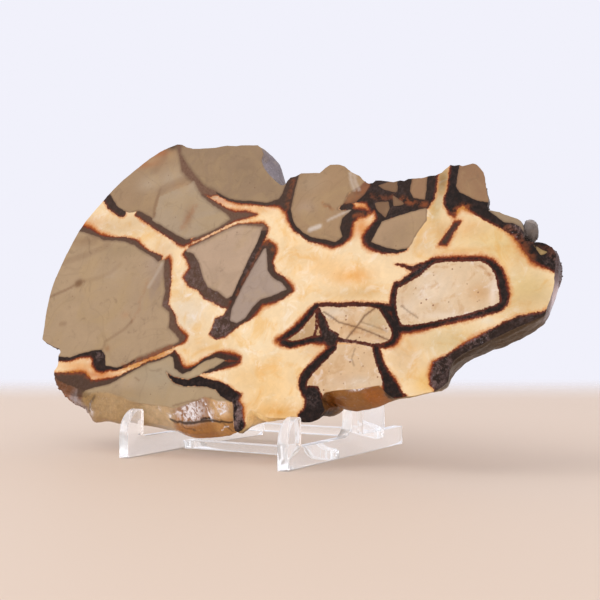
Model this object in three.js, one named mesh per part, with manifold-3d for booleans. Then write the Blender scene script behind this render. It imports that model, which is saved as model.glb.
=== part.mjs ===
// A slab sawn from a septarian nodule, leaning on a small clear easel.
// Millimetres, +X right, +Y back, +Z up. The slab keeps its natural rind round the edge. The easel is
// two moulded side frames, each a rail with a front hook and a back upright, and two bars between them.
import * as THREE from 'three';
import { mergeVertices } from 'three/addons/utils/BufferGeometryUtils.js';
import Module from 'manifold-3d';

const wasm = await Module();
wasm.setup();

// ---- driving dimensions ---------------------------------------------------------------------------
const GAP = 0.3; // clearance between pieces that rest on or in each other
const OVERSHOOT = 1; // how far cutting and joining boxes reach past the surface they meet
const WELD_DISTANCE = 1e-4;
const CURVE_STEPS = 8;

const RAIL = { length: 64, height: 5, thickness: 2.8 };
const FRAME_SPACING = 49.6; // outer face to outer face of the two side frames
const HOOK = { straight: 6.2, tip: 12.1, tipFlat: 1.6, depth: 6.2, tipRadius: 0.8, noseBack: 0.4, noseDrop: 1.2 };
const UPRIGHT = { front: 32.5, flange: 6.3, back: 53.7, web: 1.4, kneeHeight: 18, topDepth: 8.5 };
const FILLET = 4.4; // between the rail and the upright's front edge
const HOOK_FILLET = 1;
const FRONT_BAR = { front: 24.2, depth: 3, bottom: 0, height: 2.3 };
const REAR_BAR = { front: 50.4, depth: 3.2, bottom: 2.6, height: 2.4 };
const COLLAR = { length: 2.6, grow: 0.35 };
const PEG = { side: 1.2, length: 1.4 };

const SLAB_THICKNESS = 12;
const LEAN = THREE.MathUtils.degToRad(17); // the face leans back from upright
const LOW_POINT = 12; // height of the face's lower edge where it stands behind the right hook
const RING_DEPTHS = [0, 0.5, 1.6, 3.2, 5.2, 7.4, 9.6, 11.3, SLAB_THICKNESS];
const RIND_BUMP = 0.32; // how far the broken rind wanders in and out
const SOFTEN_EVERY = 2.4; // depth for each pass that softens the edge's teeth
const ARC_STEPS = 24;
const KNOB = { centre: [74.6, 3.6, 58.2], radius: 2.6, squash: [0.68, 1.15, 1.05] };

// ---- outline of the polished face -----------------------------------------------------------------
// Points are [across, up] in the plane of the face. Across is measured from the middle of the easel and
// up from the surface the easel stands on. They run clockwise, and each stretch names the wall behind it.
const OUTLINE = [
  ['top', [[-26.4, 88.1], [-25, 87.2], [-22.5, 86.5], [-15, 86.1], [-11, 86.4], [-8, 86], [-4, 85.8],
    [-1, 85.5], [0.3, 84.6]]],
  ['fracture', [[1.2, 82.8], [0.9, 80.8], [2, 78.7], [4, 76.6]]],
  ['notch', [[6.6, 74.4], [7.6, 73.7], [8.3, 73.2], [9.1, 73], [9.8, 73.4], [10.2, 74.3], [11, 75.1]]],
  ['top', [[12.5, 75.3], [14, 76], [17.5, 75.9], [19.5, 75.7], [21, 77], [22.2, 77.7], [24.8, 77.6],
    [26.5, 77], [28.6, 75.2], [31, 74], [32, 73], [33, 72.1], [34, 71.7], [35, 71.8], [35.7, 72.4],
    [38, 72.1], [40.5, 71.6], [42.3, 71.9], [43.5, 71.6], [44.5, 72.1], [48, 72], [50, 72.4], [51.5, 72.4],
    [53, 73], [54, 74], [55, 74.9], [56, 74.6], [57.2, 74.7], [58, 74.3], [60.5, 74.8]]],
  ['shoulder', [[61.5, 74.4], [62.5, 73.4], [63.4, 72.2], [64, 70.6], [64.4, 68.6], [64.8, 66.6],
    [65.3, 65.3], [65.2, 63.6], [65.7, 62.5], [68.2, 62], [69.5, 61.3], [72.5, 60.2], [73.5, 59.4],
    [74.1, 57.8], [74.5, 56], [75.1, 54.8], [76.5, 54.3], [78.2, 54.2], [79.5, 53.8]]],
  ['lump', [[81, 53], [81.8, 51.2], [82, 49], [81.9, 46.5]]],
  ['end', [[82.1, 45], [81.9, 43], [81.5, 41], [81, 39.4]]],
  ['flank', [[80.4, 37.4], [77.5, 36], [74, 34.3], [70, 32.3], [66, 30.2], [63, 28.6]]],
  ['heel', [[61, 27.1], [60.3, 25.5], [60.3, 23.8], [60.2, 22.2]]],
  ['undercut', [[59, 20.8], [57.5, 19.9], [55, 19.4], [53, 18.8], [50.5, 18.4], [48, 18], [46.8, 18.4]]],
  ['ramp', [[45.4, 19.4], [43.8, 20.9]]],
  ['slope', [[41, 20.4], [38, 19.9], [35, 19.6], [32, 19.2]]],
  ['slopeEnd', [[29.9, 18.7]]],
  ['undercut', [[29.3, 17.2]]],
  ['stump', [[29.9, 15.6], [30.6, 14.6], [29.9, 13.4], [28.6, 12.2], [27.3, 11.5], [24.8, 11.4]]],
  ['undercut', [[24.2, 12.5], [22, 12.7], [20.5, 12.2], [16, 12]]],
  ['chip', [[14.9, 12.3], [12.6, 13.1], [10.4, 13.7]]],
  ['foot', [[9.5, 12.4], [9.7, 10.7], [9.4, 9.4], [8.6, 8.6], [7.7, 8.1], [6.9, 8.3]]],
  ['foot', [[6.2, 9.4], [5.6, 11.2], [5.2, 13.2]]],
  ['spallEnd', [[4.6, 15.3], [3, 15.8]]],
  ['spall', [[0.5, 15.7], [-2, 16.2], [-4, 16.6], [-5.5, 15.6], [-8, 15]]],
  ['spallEnd', [[-10.5, 13.9], [-13, 13.2]]],
  ['belly', [[-15, 13.6], [-17.5, 13.7], [-20, 13.8], [-24, 14], [-28, 15]]],
  ['skirt', [[-30.5, 15.7], [-33, 16.2], [-35.5, 16.7], [-38, 16.8], [-40, 16.5]]],
  ['crust', [[-42, 16.6], [-46, 17.4], [-50, 18.3]]],
  ['heelLeft', [[-54, 19.5], [-55.7, 20.8]]],
  ['ledge', [[-55.9, 22], [-55.2, 23.2], [-55, 24.2], [-55.3, 25.2], [-55.6, 26.2], [-55.1, 27.3],
    [-55.8, 28.3], [-57.7, 28.8], [-59.8, 29.5], [-61.8, 30.2]]],
];
// The round left end is one smooth curve through these points.
const LEFT_END = [[-63, 31], [-63.9, 42], [-63, 50], [-59.3, 61], [-56.4, 66.6], [-51.3, 72.8], [-46.5, 78],
  [-38.5, 84], [-33.1, 87], [-28.3, 88.5]];

// ---- walls of the slab ------------------------------------------------------------------------------
// Each profile lists [depth behind the face, how far the wall stands out from the face's edge].
const WALLS = {
  top: [[0, 0], [0.6, -0.2], [4, 0.3], [9, -0.8], [12, -2]],
  fracture: [[0, 0], [1.2, 0.8], [5, 2.6], [9, 1.6], [12, -0.4]],
  notch: [[0, 0], [3, -0.5], [6, -1.4], [12, -2.6]],
  shoulder: [[0, 0], [1, -0.4], [6, -1.8], [12, -3.6]],
  lump: [[0, 0], [1, 0.2], [5, 0.7], [9, 0], [12, -2]],
  end: [[0, 0], [1, -0.1], [6, -1.3], [12, -3.8]],
  flank: [[0, 0], [5, 0.1], [8.4, -0.5], [12, -3]],
  heel: [[0, 0], [2, -0.8], [6, -2.6], [12, -5.2]],
  undercut: [[0, 0], [1, -0.3], [6, -1.8], [12, -3.8]],
  ramp: [[0, 0], [1, 0.4], [6, 1.6], [12, -1]],
  slope: [[0, 0], [1, 0.6], [7, 4.4], [12, 1]],
  slopeEnd: [[0, 0], [1, 0.3], [7, 1.8], [12, 0]],
  stump: [[0, 0], [1, -0.4], [3, -1.3], [6, -2.4], [12, -3.6]],
  chip: [[0, 0], [1.2, 1.5], [2.4, 1.8], [5, 0.8], [8, -0.6], [12, -2.4]],
  foot: [[0, 0], [2, -0.2], [5, -1.8], [8, -3], [12, -4.4]],
  spall: [[0, 0], [1.4, 2], [2.8, 4.6], [5, 7.6], [7.4, 8.6], [12, 6]],
  spallEnd: [[0, 0], [1.4, 1.7], [2.8, 3.8], [5, 6], [7.4, 6.8], [12, 4.6]],
  belly: [[0, 0], [2.5, 2.3], [6, 4.2], [12, 4.6]],
  skirt: [[0, 0], [1.6, 4], [3.4, 7], [7, 7.4], [12, 5]],
  crust: [[0, 0], [1.5, 4.2], [5, 5.2], [12, 3]],
  heelLeft: [[0, 0], [1.5, 1], [5, 1.8], [12, 0]],
  ledge: [[0, 0], [4, 0.3], [12, -1.2]],
  leftEnd: [[0, 0], [0.5, 0.1], [3, 0.8], [6, 1.1], [10, 0.2], [12, -1.2]],
};
const WALLS_FACING_DOWN = new Set([
  'ramp', 'slope', 'slopeEnd', 'stump', 'chip', 'foot', 'spall', 'spallEnd', 'belly', 'skirt',
]);
const BLEND = 1; // stations on each side that a wall's profile is eased into its neighbours'

// ---- helpers ------------------------------------------------------------------------------------------
function toSolid(geometry) {
  const bare = geometry.clone();
  bare.deleteAttribute('normal');
  bare.deleteAttribute('uv');
  const merged = mergeVertices(bare, WELD_DISTANCE);
  return new wasm.Manifold(new wasm.Mesh({
    numProp: 3,
    vertProperties: new Float32Array(merged.attributes.position.array),
    triVerts: new Uint32Array(merged.index.array),
  }));
}

function toGeometry(solid) {
  const { vertProperties, triVerts } = solid.getMesh();
  const geometry = new THREE.BufferGeometry();
  geometry.setAttribute('position', new THREE.BufferAttribute(new Float32Array(vertProperties), 3));
  geometry.setIndex(new THREE.BufferAttribute(new Uint32Array(triVerts), 1));
  return geometry.toNonIndexed();
}

function box(size, low) {
  const [x, y, z] = size;
  return new THREE.BoxGeometry(x, y, z).translate(low[0] + x / 2, low[1] + y / 2, low[2] + z / 2);
}

// A repeatable wander between -1 and 1, for the broken rind.
function wander(a, b) {
  const wave = Math.sin(a * 12.9898 + b * 78.233) * 43758.5453;
  return 2 * (wave - Math.floor(wave)) - 1;
}

function profileAt(profile, depth) {
  const next = profile.findIndex(([d]) => d >= depth);
  if (next <= 0) return profile[0][1];
  const [d0, out0] = profile[next - 1];
  const [d1, out1] = profile[next];
  return out0 + (out1 - out0) * (depth - d0) / (d1 - d0);
}

// ---- slab -----------------------------------------------------------------------------------------------
function slabStations() {
  const stations = OUTLINE.flatMap(([wall, points]) => points.map((at) => ({ wall, at })));
  const curve = new THREE.SplineCurve(LEFT_END.map(([x, y]) => new THREE.Vector2(x, y)));
  for (const { x, y } of curve.getSpacedPoints(ARC_STEPS)) stations.push({ wall: 'leftEnd', at: [x, y] });
  return stations;
}

// The way out of the outline at a station, level with the face: straight down under the broken lower
// edge, and square to the outline elsewhere.
function wayOut(stations, i) {
  if (WALLS_FACING_DOWN.has(stations[i].wall)) return [0, -1];
  const count = stations.length;
  const [x0, y0] = stations[(i + count - 1) % count].at;
  const [x1, y1] = stations[(i + 1) % count].at;
  const length = Math.hypot(x1 - x0, y1 - y0);
  return [-(y1 - y0) / length, (x1 - x0) / length];
}

// The edge's small teeth fade with depth: each pass moves every point halfway to its neighbours' middle.
function softened(ring, passes) {
  let points = ring;
  for (let pass = 0; pass < passes; pass += 1) {
    points = points.map((p, i) => {
      const before = points[(i + points.length - 1) % points.length];
      const after = points[(i + 1) % points.length];
      return before.clone().add(after).multiplyScalar(0.5).lerp(p, 0.5);
    });
  }
  return points;
}

function slabRings() {
  const stations = slabStations();
  const count = stations.length;
  return RING_DEPTHS.map((depth, ring) => {
    const points = stations.map(({ at }, i) => {
      let out = 0;
      for (let k = -BLEND; k <= BLEND; k += 1) {
        out += profileAt(WALLS[stations[(i + k + count) % count].wall], depth) / (2 * BLEND + 1);
      }
      if (ring > 0) out += RIND_BUMP * wander(i, ring);
      const [nx, ny] = wayOut(stations, i);
      return new THREE.Vector3(at[0] + nx * out, depth, at[1] + ny * out);
    });
    return softened(points, Math.floor(depth / SOFTEN_EVERY));
  });
}

function slabGeometry() {
  const rings = slabRings();
  const count = rings[0].length;
  const corners = rings.flat();
  const faces = [];
  const cap = (ring, flip) => {
    const flat = rings[ring].map((p) => new THREE.Vector2(p.x, p.z));
    for (const [a, b, c] of THREE.ShapeUtils.triangulateShape(flat, [])) {
      const start = ring * count;
      faces.push(flip ? [start + a, start + c, start + b] : [start + a, start + b, start + c]);
    }
  };
  cap(0, false);
  cap(rings.length - 1, true);
  for (let ring = 0; ring < rings.length - 1; ring += 1) {
    for (let i = 0; i < count; i += 1) {
      const a = ring * count + i;
      const b = ring * count + (i + 1) % count;
      faces.push([a, b, b + count], [a, b + count, a + count]);
    }
  }
  const geometry = new THREE.BufferGeometry().setFromPoints(corners);
  geometry.setIndex(faces.flat());
  return geometry;
}

function knob() {
  const [x, y, z] = KNOB.centre;
  return new THREE.IcosahedronGeometry(KNOB.radius, 1).scale(...KNOB.squash).translate(x, y, z);
}

function slab() {
  return toSolid(slabGeometry()).add(toSolid(knob()));
}

// ---- easel ------------------------------------------------------------------------------------------------
// Side view of a frame: +x of the shape runs back and +y runs up.
function frameOutline() {
  const shape = new THREE.Shape();
  shape.moveTo(0, 0);
  shape.lineTo(RAIL.length, 0);
  shape.lineTo(RAIL.length, RAIL.height);
  shape.lineTo(UPRIGHT.back, RAIL.height);
  shape.lineTo(UPRIGHT.back, UPRIGHT.kneeHeight);
  shape.lineTo(UPRIGHT.front + UPRIGHT.topDepth, uprightTop());
  shape.lineTo(UPRIGHT.front, uprightTop());
  shape.lineTo(UPRIGHT.front, RAIL.height + FILLET);
  shape.absarc(UPRIGHT.front - FILLET, RAIL.height + FILLET, FILLET, 0, -Math.PI / 2, true);
  shape.lineTo(HOOK.depth + HOOK_FILLET, RAIL.height);
  shape.absarc(HOOK.depth + HOOK_FILLET, RAIL.height + HOOK_FILLET, HOOK_FILLET, -Math.PI / 2, -Math.PI, true);
  shape.lineTo(HOOK.depth, HOOK.tip - HOOK.tipRadius);
  shape.absarc(HOOK.depth - HOOK.tipRadius, HOOK.tip - HOOK.tipRadius, HOOK.tipRadius, 0, Math.PI / 2, false);
  shape.lineTo(HOOK.depth - HOOK.tipFlat, HOOK.tip);
  shape.quadraticCurveTo(HOOK.noseBack, HOOK.tip - HOOK.noseDrop, 0, HOOK.straight);
  shape.closePath();
  return shape;
}

// The slab's back rests on the top front corners of the uprights.
function uprightTop() {
  const faceAtGround = faceOffset();
  const backAtGround = faceAtGround + SLAB_THICKNESS / Math.cos(LEAN);
  return (UPRIGHT.front - GAP - backAtGround) / Math.tan(LEAN);
}

// How far back the plane of the face meets the ground, so that the face just clears the right hook.
function faceOffset() {
  return HOOK.depth + GAP - LOW_POINT * Math.tan(LEAN);
}

function extrudeSideways(shape, thickness, left) {
  const settings = { depth: thickness, bevelEnabled: false, curveSegments: CURVE_STEPS };
  const geometry = new THREE.ExtrudeGeometry(shape, settings);
  const turn = new THREE.Matrix4().makeBasis(
    new THREE.Vector3(0, 1, 0),
    new THREE.Vector3(0, 0, 1),
    new THREE.Vector3(1, 0, 0),
  );
  return geometry.applyMatrix4(turn).translate(left, 0, 0);
}

// A frame's sockets open towards the other frame. side is -1 on the left and 1 on the right.
function sideFrame(side) {
  const left = side < 0 ? -FRAME_SPACING / 2 : FRAME_SPACING / 2 - RAIL.thickness;
  let solid = toSolid(extrudeSideways(frameOutline(), RAIL.thickness, left));
  const relief = (RAIL.thickness - UPRIGHT.web) / 2;
  const pocketFront = UPRIGHT.front + UPRIGHT.flange;
  const pocketSize = [relief + OVERSHOOT, RAIL.length, uprightTop()];
  for (const face of [left - OVERSHOOT, left + RAIL.thickness - relief]) {
    solid = solid.subtract(toSolid(box(pocketSize, [face, pocketFront, RAIL.height])));
  }
  const inside = side < 0 ? left + RAIL.thickness : left;
  const socket = PEG.side + 2 * GAP;
  const length = PEG.length + GAP;
  for (const bar of [FRONT_BAR, REAR_BAR]) {
    const low = [
      side < 0 ? inside - length : inside,
      bar.front + (bar.depth - socket) / 2,
      bar.bottom + (bar.height - socket) / 2,
    ];
    const mouthLow = [side < 0 ? low[0] : low[0] - OVERSHOOT, low[1], low[2]];
    const mouth = box([length + OVERSHOOT, socket, socket], mouthLow);
    solid = solid.subtract(toSolid(mouth));
  }
  return solid;
}

// A bar reaches from rail to rail, with a collar and a square peg at each end.
function crossBar(bar) {
  const reach = FRAME_SPACING - 2 * RAIL.thickness;
  let solid = toSolid(box([reach, bar.depth, bar.height], [-reach / 2, bar.front, bar.bottom]));
  for (const side of [-1, 1]) {
    const collarLow = side < 0 ? -reach / 2 : reach / 2 - COLLAR.length;
    const collar = box(
      [COLLAR.length, bar.depth + 2 * COLLAR.grow, bar.height],
      [collarLow, bar.front - COLLAR.grow, bar.bottom],
    );
    const pegLow = side < 0 ? -reach / 2 - PEG.length : reach / 2 - OVERSHOOT;
    const peg = box(
      [PEG.length + OVERSHOOT, PEG.side, PEG.side],
      [pegLow, bar.front + (bar.depth - PEG.side) / 2, bar.bottom + (bar.height - PEG.side) / 2],
    );
    solid = solid.add(toSolid(collar)).add(toSolid(peg));
  }
  return solid;
}

// ---- assembly --------------------------------------------------------------------------------------------
const stone = new THREE.MeshStandardMaterial({ color: 0xd9bd8c, roughness: 0.3, metalness: 0 });
const clear = new THREE.MeshStandardMaterial({
  color: 0xf2f2f6, roughness: 0.08, metalness: 0, transparent: true, opacity: 0.35,
});

function piece(name, solid, material) {
  const mesh = new THREE.Mesh(toGeometry(solid), material);
  mesh.geometry.computeVertexNormals();
  mesh.name = name;
  return mesh;
}

const slabPiece = piece('slab', slab(), stone);
slabPiece.rotation.x = -LEAN;
slabPiece.position.y = faceOffset();

const part = new THREE.Group();
part.add(slabPiece);
part.add(piece('side_frame_left', sideFrame(-1), clear));
part.add(piece('side_frame_right', sideFrame(1), clear));
part.add(piece('front_bar', crossBar(FRONT_BAR), clear));
part.add(piece('rear_bar', crossBar(REAR_BAR), clear));

// The origin is the middle of the space the part takes up, on the surface it stands on.
const extent = new THREE.Box3().setFromObject(part, true);
const middle = extent.getCenter(new THREE.Vector3());
part.position.set(-middle.x, -middle.y, -extent.min.z);

export default part;
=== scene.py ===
import math

import bmesh
import bpy
import numpy as np
from bpy.props import FloatProperty, FloatVectorProperty, IntProperty, PointerProperty
from mathutils import Euler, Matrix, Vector, noise
from mathutils.geometry import delaunay_2d_cdt


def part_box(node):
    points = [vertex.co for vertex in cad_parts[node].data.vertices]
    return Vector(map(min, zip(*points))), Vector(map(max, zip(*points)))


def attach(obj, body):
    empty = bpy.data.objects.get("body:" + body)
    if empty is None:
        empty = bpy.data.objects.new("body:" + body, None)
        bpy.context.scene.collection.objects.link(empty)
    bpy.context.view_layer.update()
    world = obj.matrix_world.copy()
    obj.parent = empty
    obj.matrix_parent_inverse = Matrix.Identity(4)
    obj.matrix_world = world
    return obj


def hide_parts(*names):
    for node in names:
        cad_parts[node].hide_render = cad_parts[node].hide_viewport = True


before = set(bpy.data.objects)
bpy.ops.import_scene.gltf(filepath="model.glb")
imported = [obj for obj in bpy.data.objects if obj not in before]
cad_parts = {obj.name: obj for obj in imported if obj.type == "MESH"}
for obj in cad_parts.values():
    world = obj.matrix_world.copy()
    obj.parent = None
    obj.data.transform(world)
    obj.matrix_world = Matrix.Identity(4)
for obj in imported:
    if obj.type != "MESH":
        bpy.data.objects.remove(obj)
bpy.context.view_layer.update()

# A sawn slab of septarian nodule on a clear easel. The slab is made in its own lying-flat frame, in mm:
# across (right, from the easel's middle), deep (back from the polished face) and up (along the face).
bl_info = {
    "name": "Septarian Slab on an Easel",
    "version": (1, 0, 0),
    "blender": (4, 5, 0),
    "location": "3D View > Sidebar > Septarian",
    "description": "Makes a polished slab of septarian nodule, its clear easel and a plain studio",
    "category": "Add Mesh",
}

MM = 0.001
LEAN = math.radians(17)  # the face leans back from upright
THICKNESS = 12.0
FLAT = 0.03  # how near a vertex lies to the face or the back to count as on it
SAME = 1e-6  # vertices nearer than this are one
SLANT = (0.18, -0.1)  # how far the seams drift across and up for each mm through the stone
# The glints on the broken walls below are highlights painted into the stone's colour.
BROKEN_BELOW = 24  # up to this height the lower edge is broken, with cracks and glints
BROKEN_DEPTH = 8  # the cracks and glints lie within this depth
LEFT_END = -43  # across: left of this the rind is rough down to its lower edge
RIM_SHARE = 0.35  # how much of the rind's relief the rims take
RIM_CLEAR = 0.04  # the wall's inner vertices keep this far from the face and the back
BATCH = 4000  # points worked on at a time, to save memory
SIDE_FRAMES = ("side_frame_left", "side_frame_right")
EASEL_NODES = SIDE_FRAMES + ("front_bar", "rear_bar")


def colour(code):
    """A hex colour as linear red, green and blue."""
    parts = [int(code[i : i + 2], 16) / 255 for i in (1, 3, 5)]
    return tuple(c / 12.92 if c <= 0.04045 else ((c + 0.055) / 1.055) ** 2.4 for c in parts)


# ---- colours -----------------------------------------------------------------------------------------------
STONES = {
    "mud": "#ad9474",
    "mud_crown": "#937a5d",
    "mud_upper": "#9f8464",
    "mud_kite": "#aa9579",
    "mud_lens": "#aa8d6c",
    "mud_olive": "#ae9775",
    "mud_rosy": "#b79d82",
    "mud_arrow": "#a89483",
    "mud_grey": "#a28461",
    "mud_khaki": "#a38a58",
    "mud_rusty": "#7d4f33",
    "mud_dim": "#7f6145",
    "mud_strip": "#8f7d68",
    "mud_brown": "#957252",
    "cream": "#dcc19b",
    "cream_warm": "#d9b990",
    "tan": "#bf9d72",
}
SPAR = "#f3d8aa"
# Soft tints over the calcite, then over the stone: (colour, across, up, reach across, reach up, strength).
SPAR_TINTS = (
    ("#eaa94f", 32.5, 47.5, 5.5, 2.2, 0.8),
    ("#eeb766", 25, 50.5, 6, 3, 0.45),
    ("#e8bc78", 15, 53, 4, 5, 0.45),
    ("#d3ab6e", 35, 43, 8, 1.8, 0.7),
    ("#e3a850", 18, 13.5, 8, 2.2, 0.8),
    ("#ecba66", 14, 20, 7, 7, 0.45),
    ("#e8bd7a", 6, 22, 4, 3, 0.4),
    ("#d0b67a", 76, 43, 6, 5, 0.9),
    ("#dcbf7c", 70, 53, 6, 4, 0.65),
    ("#dc9a40", 60, 53, 7, 0.8, 0.6),
    ("#d0b884", 60, 31, 9, 4, 0.75),
    ("#e7b95f", 55, 22, 3, 3, 0.8),
    ("#c6b080", 52.5, 64, 2, 5, 0.8),
    ("#9c8560", 53.4, 71, 2.6, 4.5, 1.0),
    ("#c8a26c", 54.6, 58.4, 1.6, 2, 0.8),
    ("#f2e4ca", 50.8, 57.6, 1.3, 2.6, 0.8),
    ("#d98a3c", 33.5, 60, 2.2, 2.6, 0.9),
    ("#e3a158", 3, 67, 7, 1.4, 0.5),
    ("#cf9672", -9, 70, 5, 1.6, 0.85),
    ("#84604a", -13.6, 72.3, 3, 1.5, 1.0),
    ("#e8dcc0", 68, 36.3, 1.8, 1, 0.7),
    ("#dcbf7e", 64, 57, 12, 4, 0.55),
    ("#d98848", 32.5, 65.6, 3, 0.8, 0.8),
    ("#de9a55", -47, 23.5, 8, 1.4, 0.7),
    ("#c8702e", -40, 21.2, 6, 1, 0.8),
    ("#b9743e", -24, 26, 8, 1.8, 0.85),
    ("#e2d3ba", -13, 38, 5, 5, 0.7),
    ("#e4d4b8", -17, 44, 3, 6, 0.6),
    ("#d8bb90", -43, 64.5, 14, 3.5, 0.85),
    ("#d5a87a", -55, 66, 5, 2, 0.7),
    ("#dcbc94", -26, 52, 4, 8, 0.75),
    ("#e2c190", -8, 29.5, 7, 3.5, 0.6),
    ("#dfb98a", 27, 29.5, 5, 2.5, 0.7),
    ("#dfc092", 46, 56, 9, 5, 0.7),
    ("#e0b47c", 60, 58.5, 6, 2.5, 0.6),
    ("#d8b278", 75, 51.5, 4, 3, 0.7),
    ("#d8b782", 76, 39, 4, 4, 0.7),
    ("#dcb888", 49, 28, 5, 5, 0.7),
    ("#e0b87c", 57, 23.5, 3, 3, 0.7),
    ("#7a4c22", 30.7, 17.2, 1.4, 2.2, 1.0),
    ("#edcb94", 0, 31, 5, 3, 0.4),
    ("#f8e6c0", 8, 30, 5, 4, 0.5),
    ("#f1dcb4", 36, 55, 7, 3, 0.4),
)
STONE_TINTS = (
    ("#7f6040", -53.8, 47.6, 1.5, 1.2, 0.7),
    ("#bda486", -30, 18.8, 6, 3, 0.6),
    ("#b9a48c", -42, 49.5, 4, 2.4, 0.35),
    ("#b58a62", -34.5, 38, 1.5, 1, 0.4),
    ("#9a6a40", -38.6, 28.5, 1, 0.9, 0.6),
    ("#8d7869", -26, 46.5, 2.6, 5, 0.7),
    ("#8d7869", -24.6, 50, 1.2, 3, 0.5),
    ("#8a6a49", -55, 60.5, 9, 1.8, 0.5),
    ("#96805f", -40, 57, 8, 2, 0.4),
    ("#a88f74", -30, 44, 4, 9, 0.35),
    ("#ab9583", -28, 53, 3, 3, 0.5),
    ("#b9a78f", -35.5, 77, 4, 2.5, 0.55),
    ("#b9a890", -28, 78, 4, 3.5, 0.5),
    ("#a9734a", -39.5, 83.4, 6, 1.4, 0.9),
    ("#a56a40", -33.8, 86.3, 4, 1.4, 0.9),
    ("#b3906a", -36.8, 84.2, 1.6, 1, 0.8),
    ("#3a2418", -29.5, 88, 2.6, 1.4, 0.95),
    ("#a8825e", -25, 75.6, 3, 1.2, 0.5),
    ("#8a5c38", -19.6, 66, 1.5, 3.5, 0.5),
    ("#b09880", 17, 66.5, 3, 2, 0.5),
    ("#a5937a", 17, 73, 4, 3, 0.35),
    ("#8a6f50", 10, 79, 6, 5, 0.25),
    ("#8d6f48", -30, 16.5, 8, 2, 0.3),
    ("#a89a82", -19, 21.5, 8, 4, 0.6),
    ("#bfa985", -8, 22.4, 3, 1.5, 0.5),
    ("#8c7557", 44, 57, 4, 4, 0.3),
    ("#c99c66", 65.5, 42.8, 2.8, 2.2, 0.7),
    ("#ecdcc8", 68.7, 43.5, 0.9, 4, 0.8),
    ("#ecdcc4", 54, 44, 5, 4, 0.45),
    ("#c9a87e", 58, 37.8, 4, 1.5, 0.3),
    ("#ecdcc4", 58, 37.4, 7, 0.9, 0.6),
    ("#ecdfcc", 48.2, 39.5, 2, 2.5, 0.5),
    ("#ddd0ba", 37, 21.5, 8, 1.5, 0.5),
    ("#e3d6c0", 30, 38.5, 4, 1.2, 0.6),
    ("#cdab7c", 48, 42, 1.5, 4, 0.4),
    ("#c79863", 35.5, 34.5, 2.4, 1.1, 0.6),
    ("#bfa981", 41, 36, 3, 2.5, 0.7),
    ("#cf9f6b", 27, 23.5, 2.5, 3, 0.5),
    ("#cda273", 34, 22, 3, 1.5, 0.45),
)
# Where the seams glow orange-red into the calcite: (across, up, reach, strength).
GLOWS = (
    (-23.5, 53.5, 2.5, 1), (-14, 32, 3, 1), (-10, 25.5, 4, 0.9), (2, 27.8, 4, 1), (8, 56.5, 2.5, 1),
    (9, 40, 3.5, 1), (16.5, 46, 2.5, 0.9), (14.5, 31.2, 2.5, 1), (20, 36, 4, 0.7), (30.5, 59, 3, 1),
    (34.5, 59, 2, 1), (36, 64, 2.5, 0.8), (58.5, 63, 3, 0.9), (73, 53.5, 3.5, 1), (78, 49.5, 3, 0.9),
    (-46, 21.5, 5, 1), (-38, 22, 4, 0.7), (52, 33, 3, 0.8), (62, 37, 4, 0.4), (27, 29.5, 3, 0.6),
    (8.5, 14, 3, 0.8), (46, 21.5, 2.5, 0.7), (58, 52, 5, 0.7), (66, 51, 4, 0.7), (-17, 50, 3, 0.7),
    (3, 63, 4, 0.6), (12, 60, 3, 0.6), (26, 55.5, 4, 0.7), (36, 54.5, 3, 0.8), (-55, 65, 5, 1.3),
    (-49, 62.5, 4, 1.1), (33, 63.8, 3, 1), (36, 58, 3, 1), (11, 64.5, 2.5, 1), (8.5, 68.4, 3, 0.9),
    (-3, 68.6, 5, 0.8), (74, 53.5, 3, 1), (59, 63.5, 3, 1), (47.5, 31.5, 4, 0.7), (-35, 66, 3, 0.5),
    (20, 33, 4, 0.8), (9, 55, 3, 1), (-34, 59, 4, 0.5), (-19, 57.2, 4, 0.6), (56, 25, 3, 0.8),
    (64, 33, 4, 0.6), (45, 66, 5, 0.5), (71.5, 45, 4, 0.5),
)
# Where glints painted into the seams' colour show as pale specks and sheen: (across, up, reach, strength).
PAINTED_SPARKLE_SPOTS = (
    (-2.5, 34.5, 4, 1), (-14, 48, 5, 0.6), (-8, 43, 5, 0.5), (-21.5, 42, 3, 0.5), (65, 33, 4, 1),
    (58, 26, 3, 0.9), (57.5, 22.5, 2, 1), (72.6, 57.5, 2.4, 1.2), (6.8, 12.5, 3.6, 1.7), (3, 52, 4, 0.4),
    (-41, 26.5, 1.5, 0.7), (35, 30.5, 4, 0.5), (41, 68, 6, 0.1), (76.5, 56, 1.8, 0.7), (81.5, 50, 2, 0.6),
    (-22.3, 46, 3, 0.5), (-14.5, 49, 2, 0.8), (29, 33, 2, 0.3), (51, 48, 3, 0.25), (27, 17, 2, 0.3),
    (76, 38, 4, 0.3),
)
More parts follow.
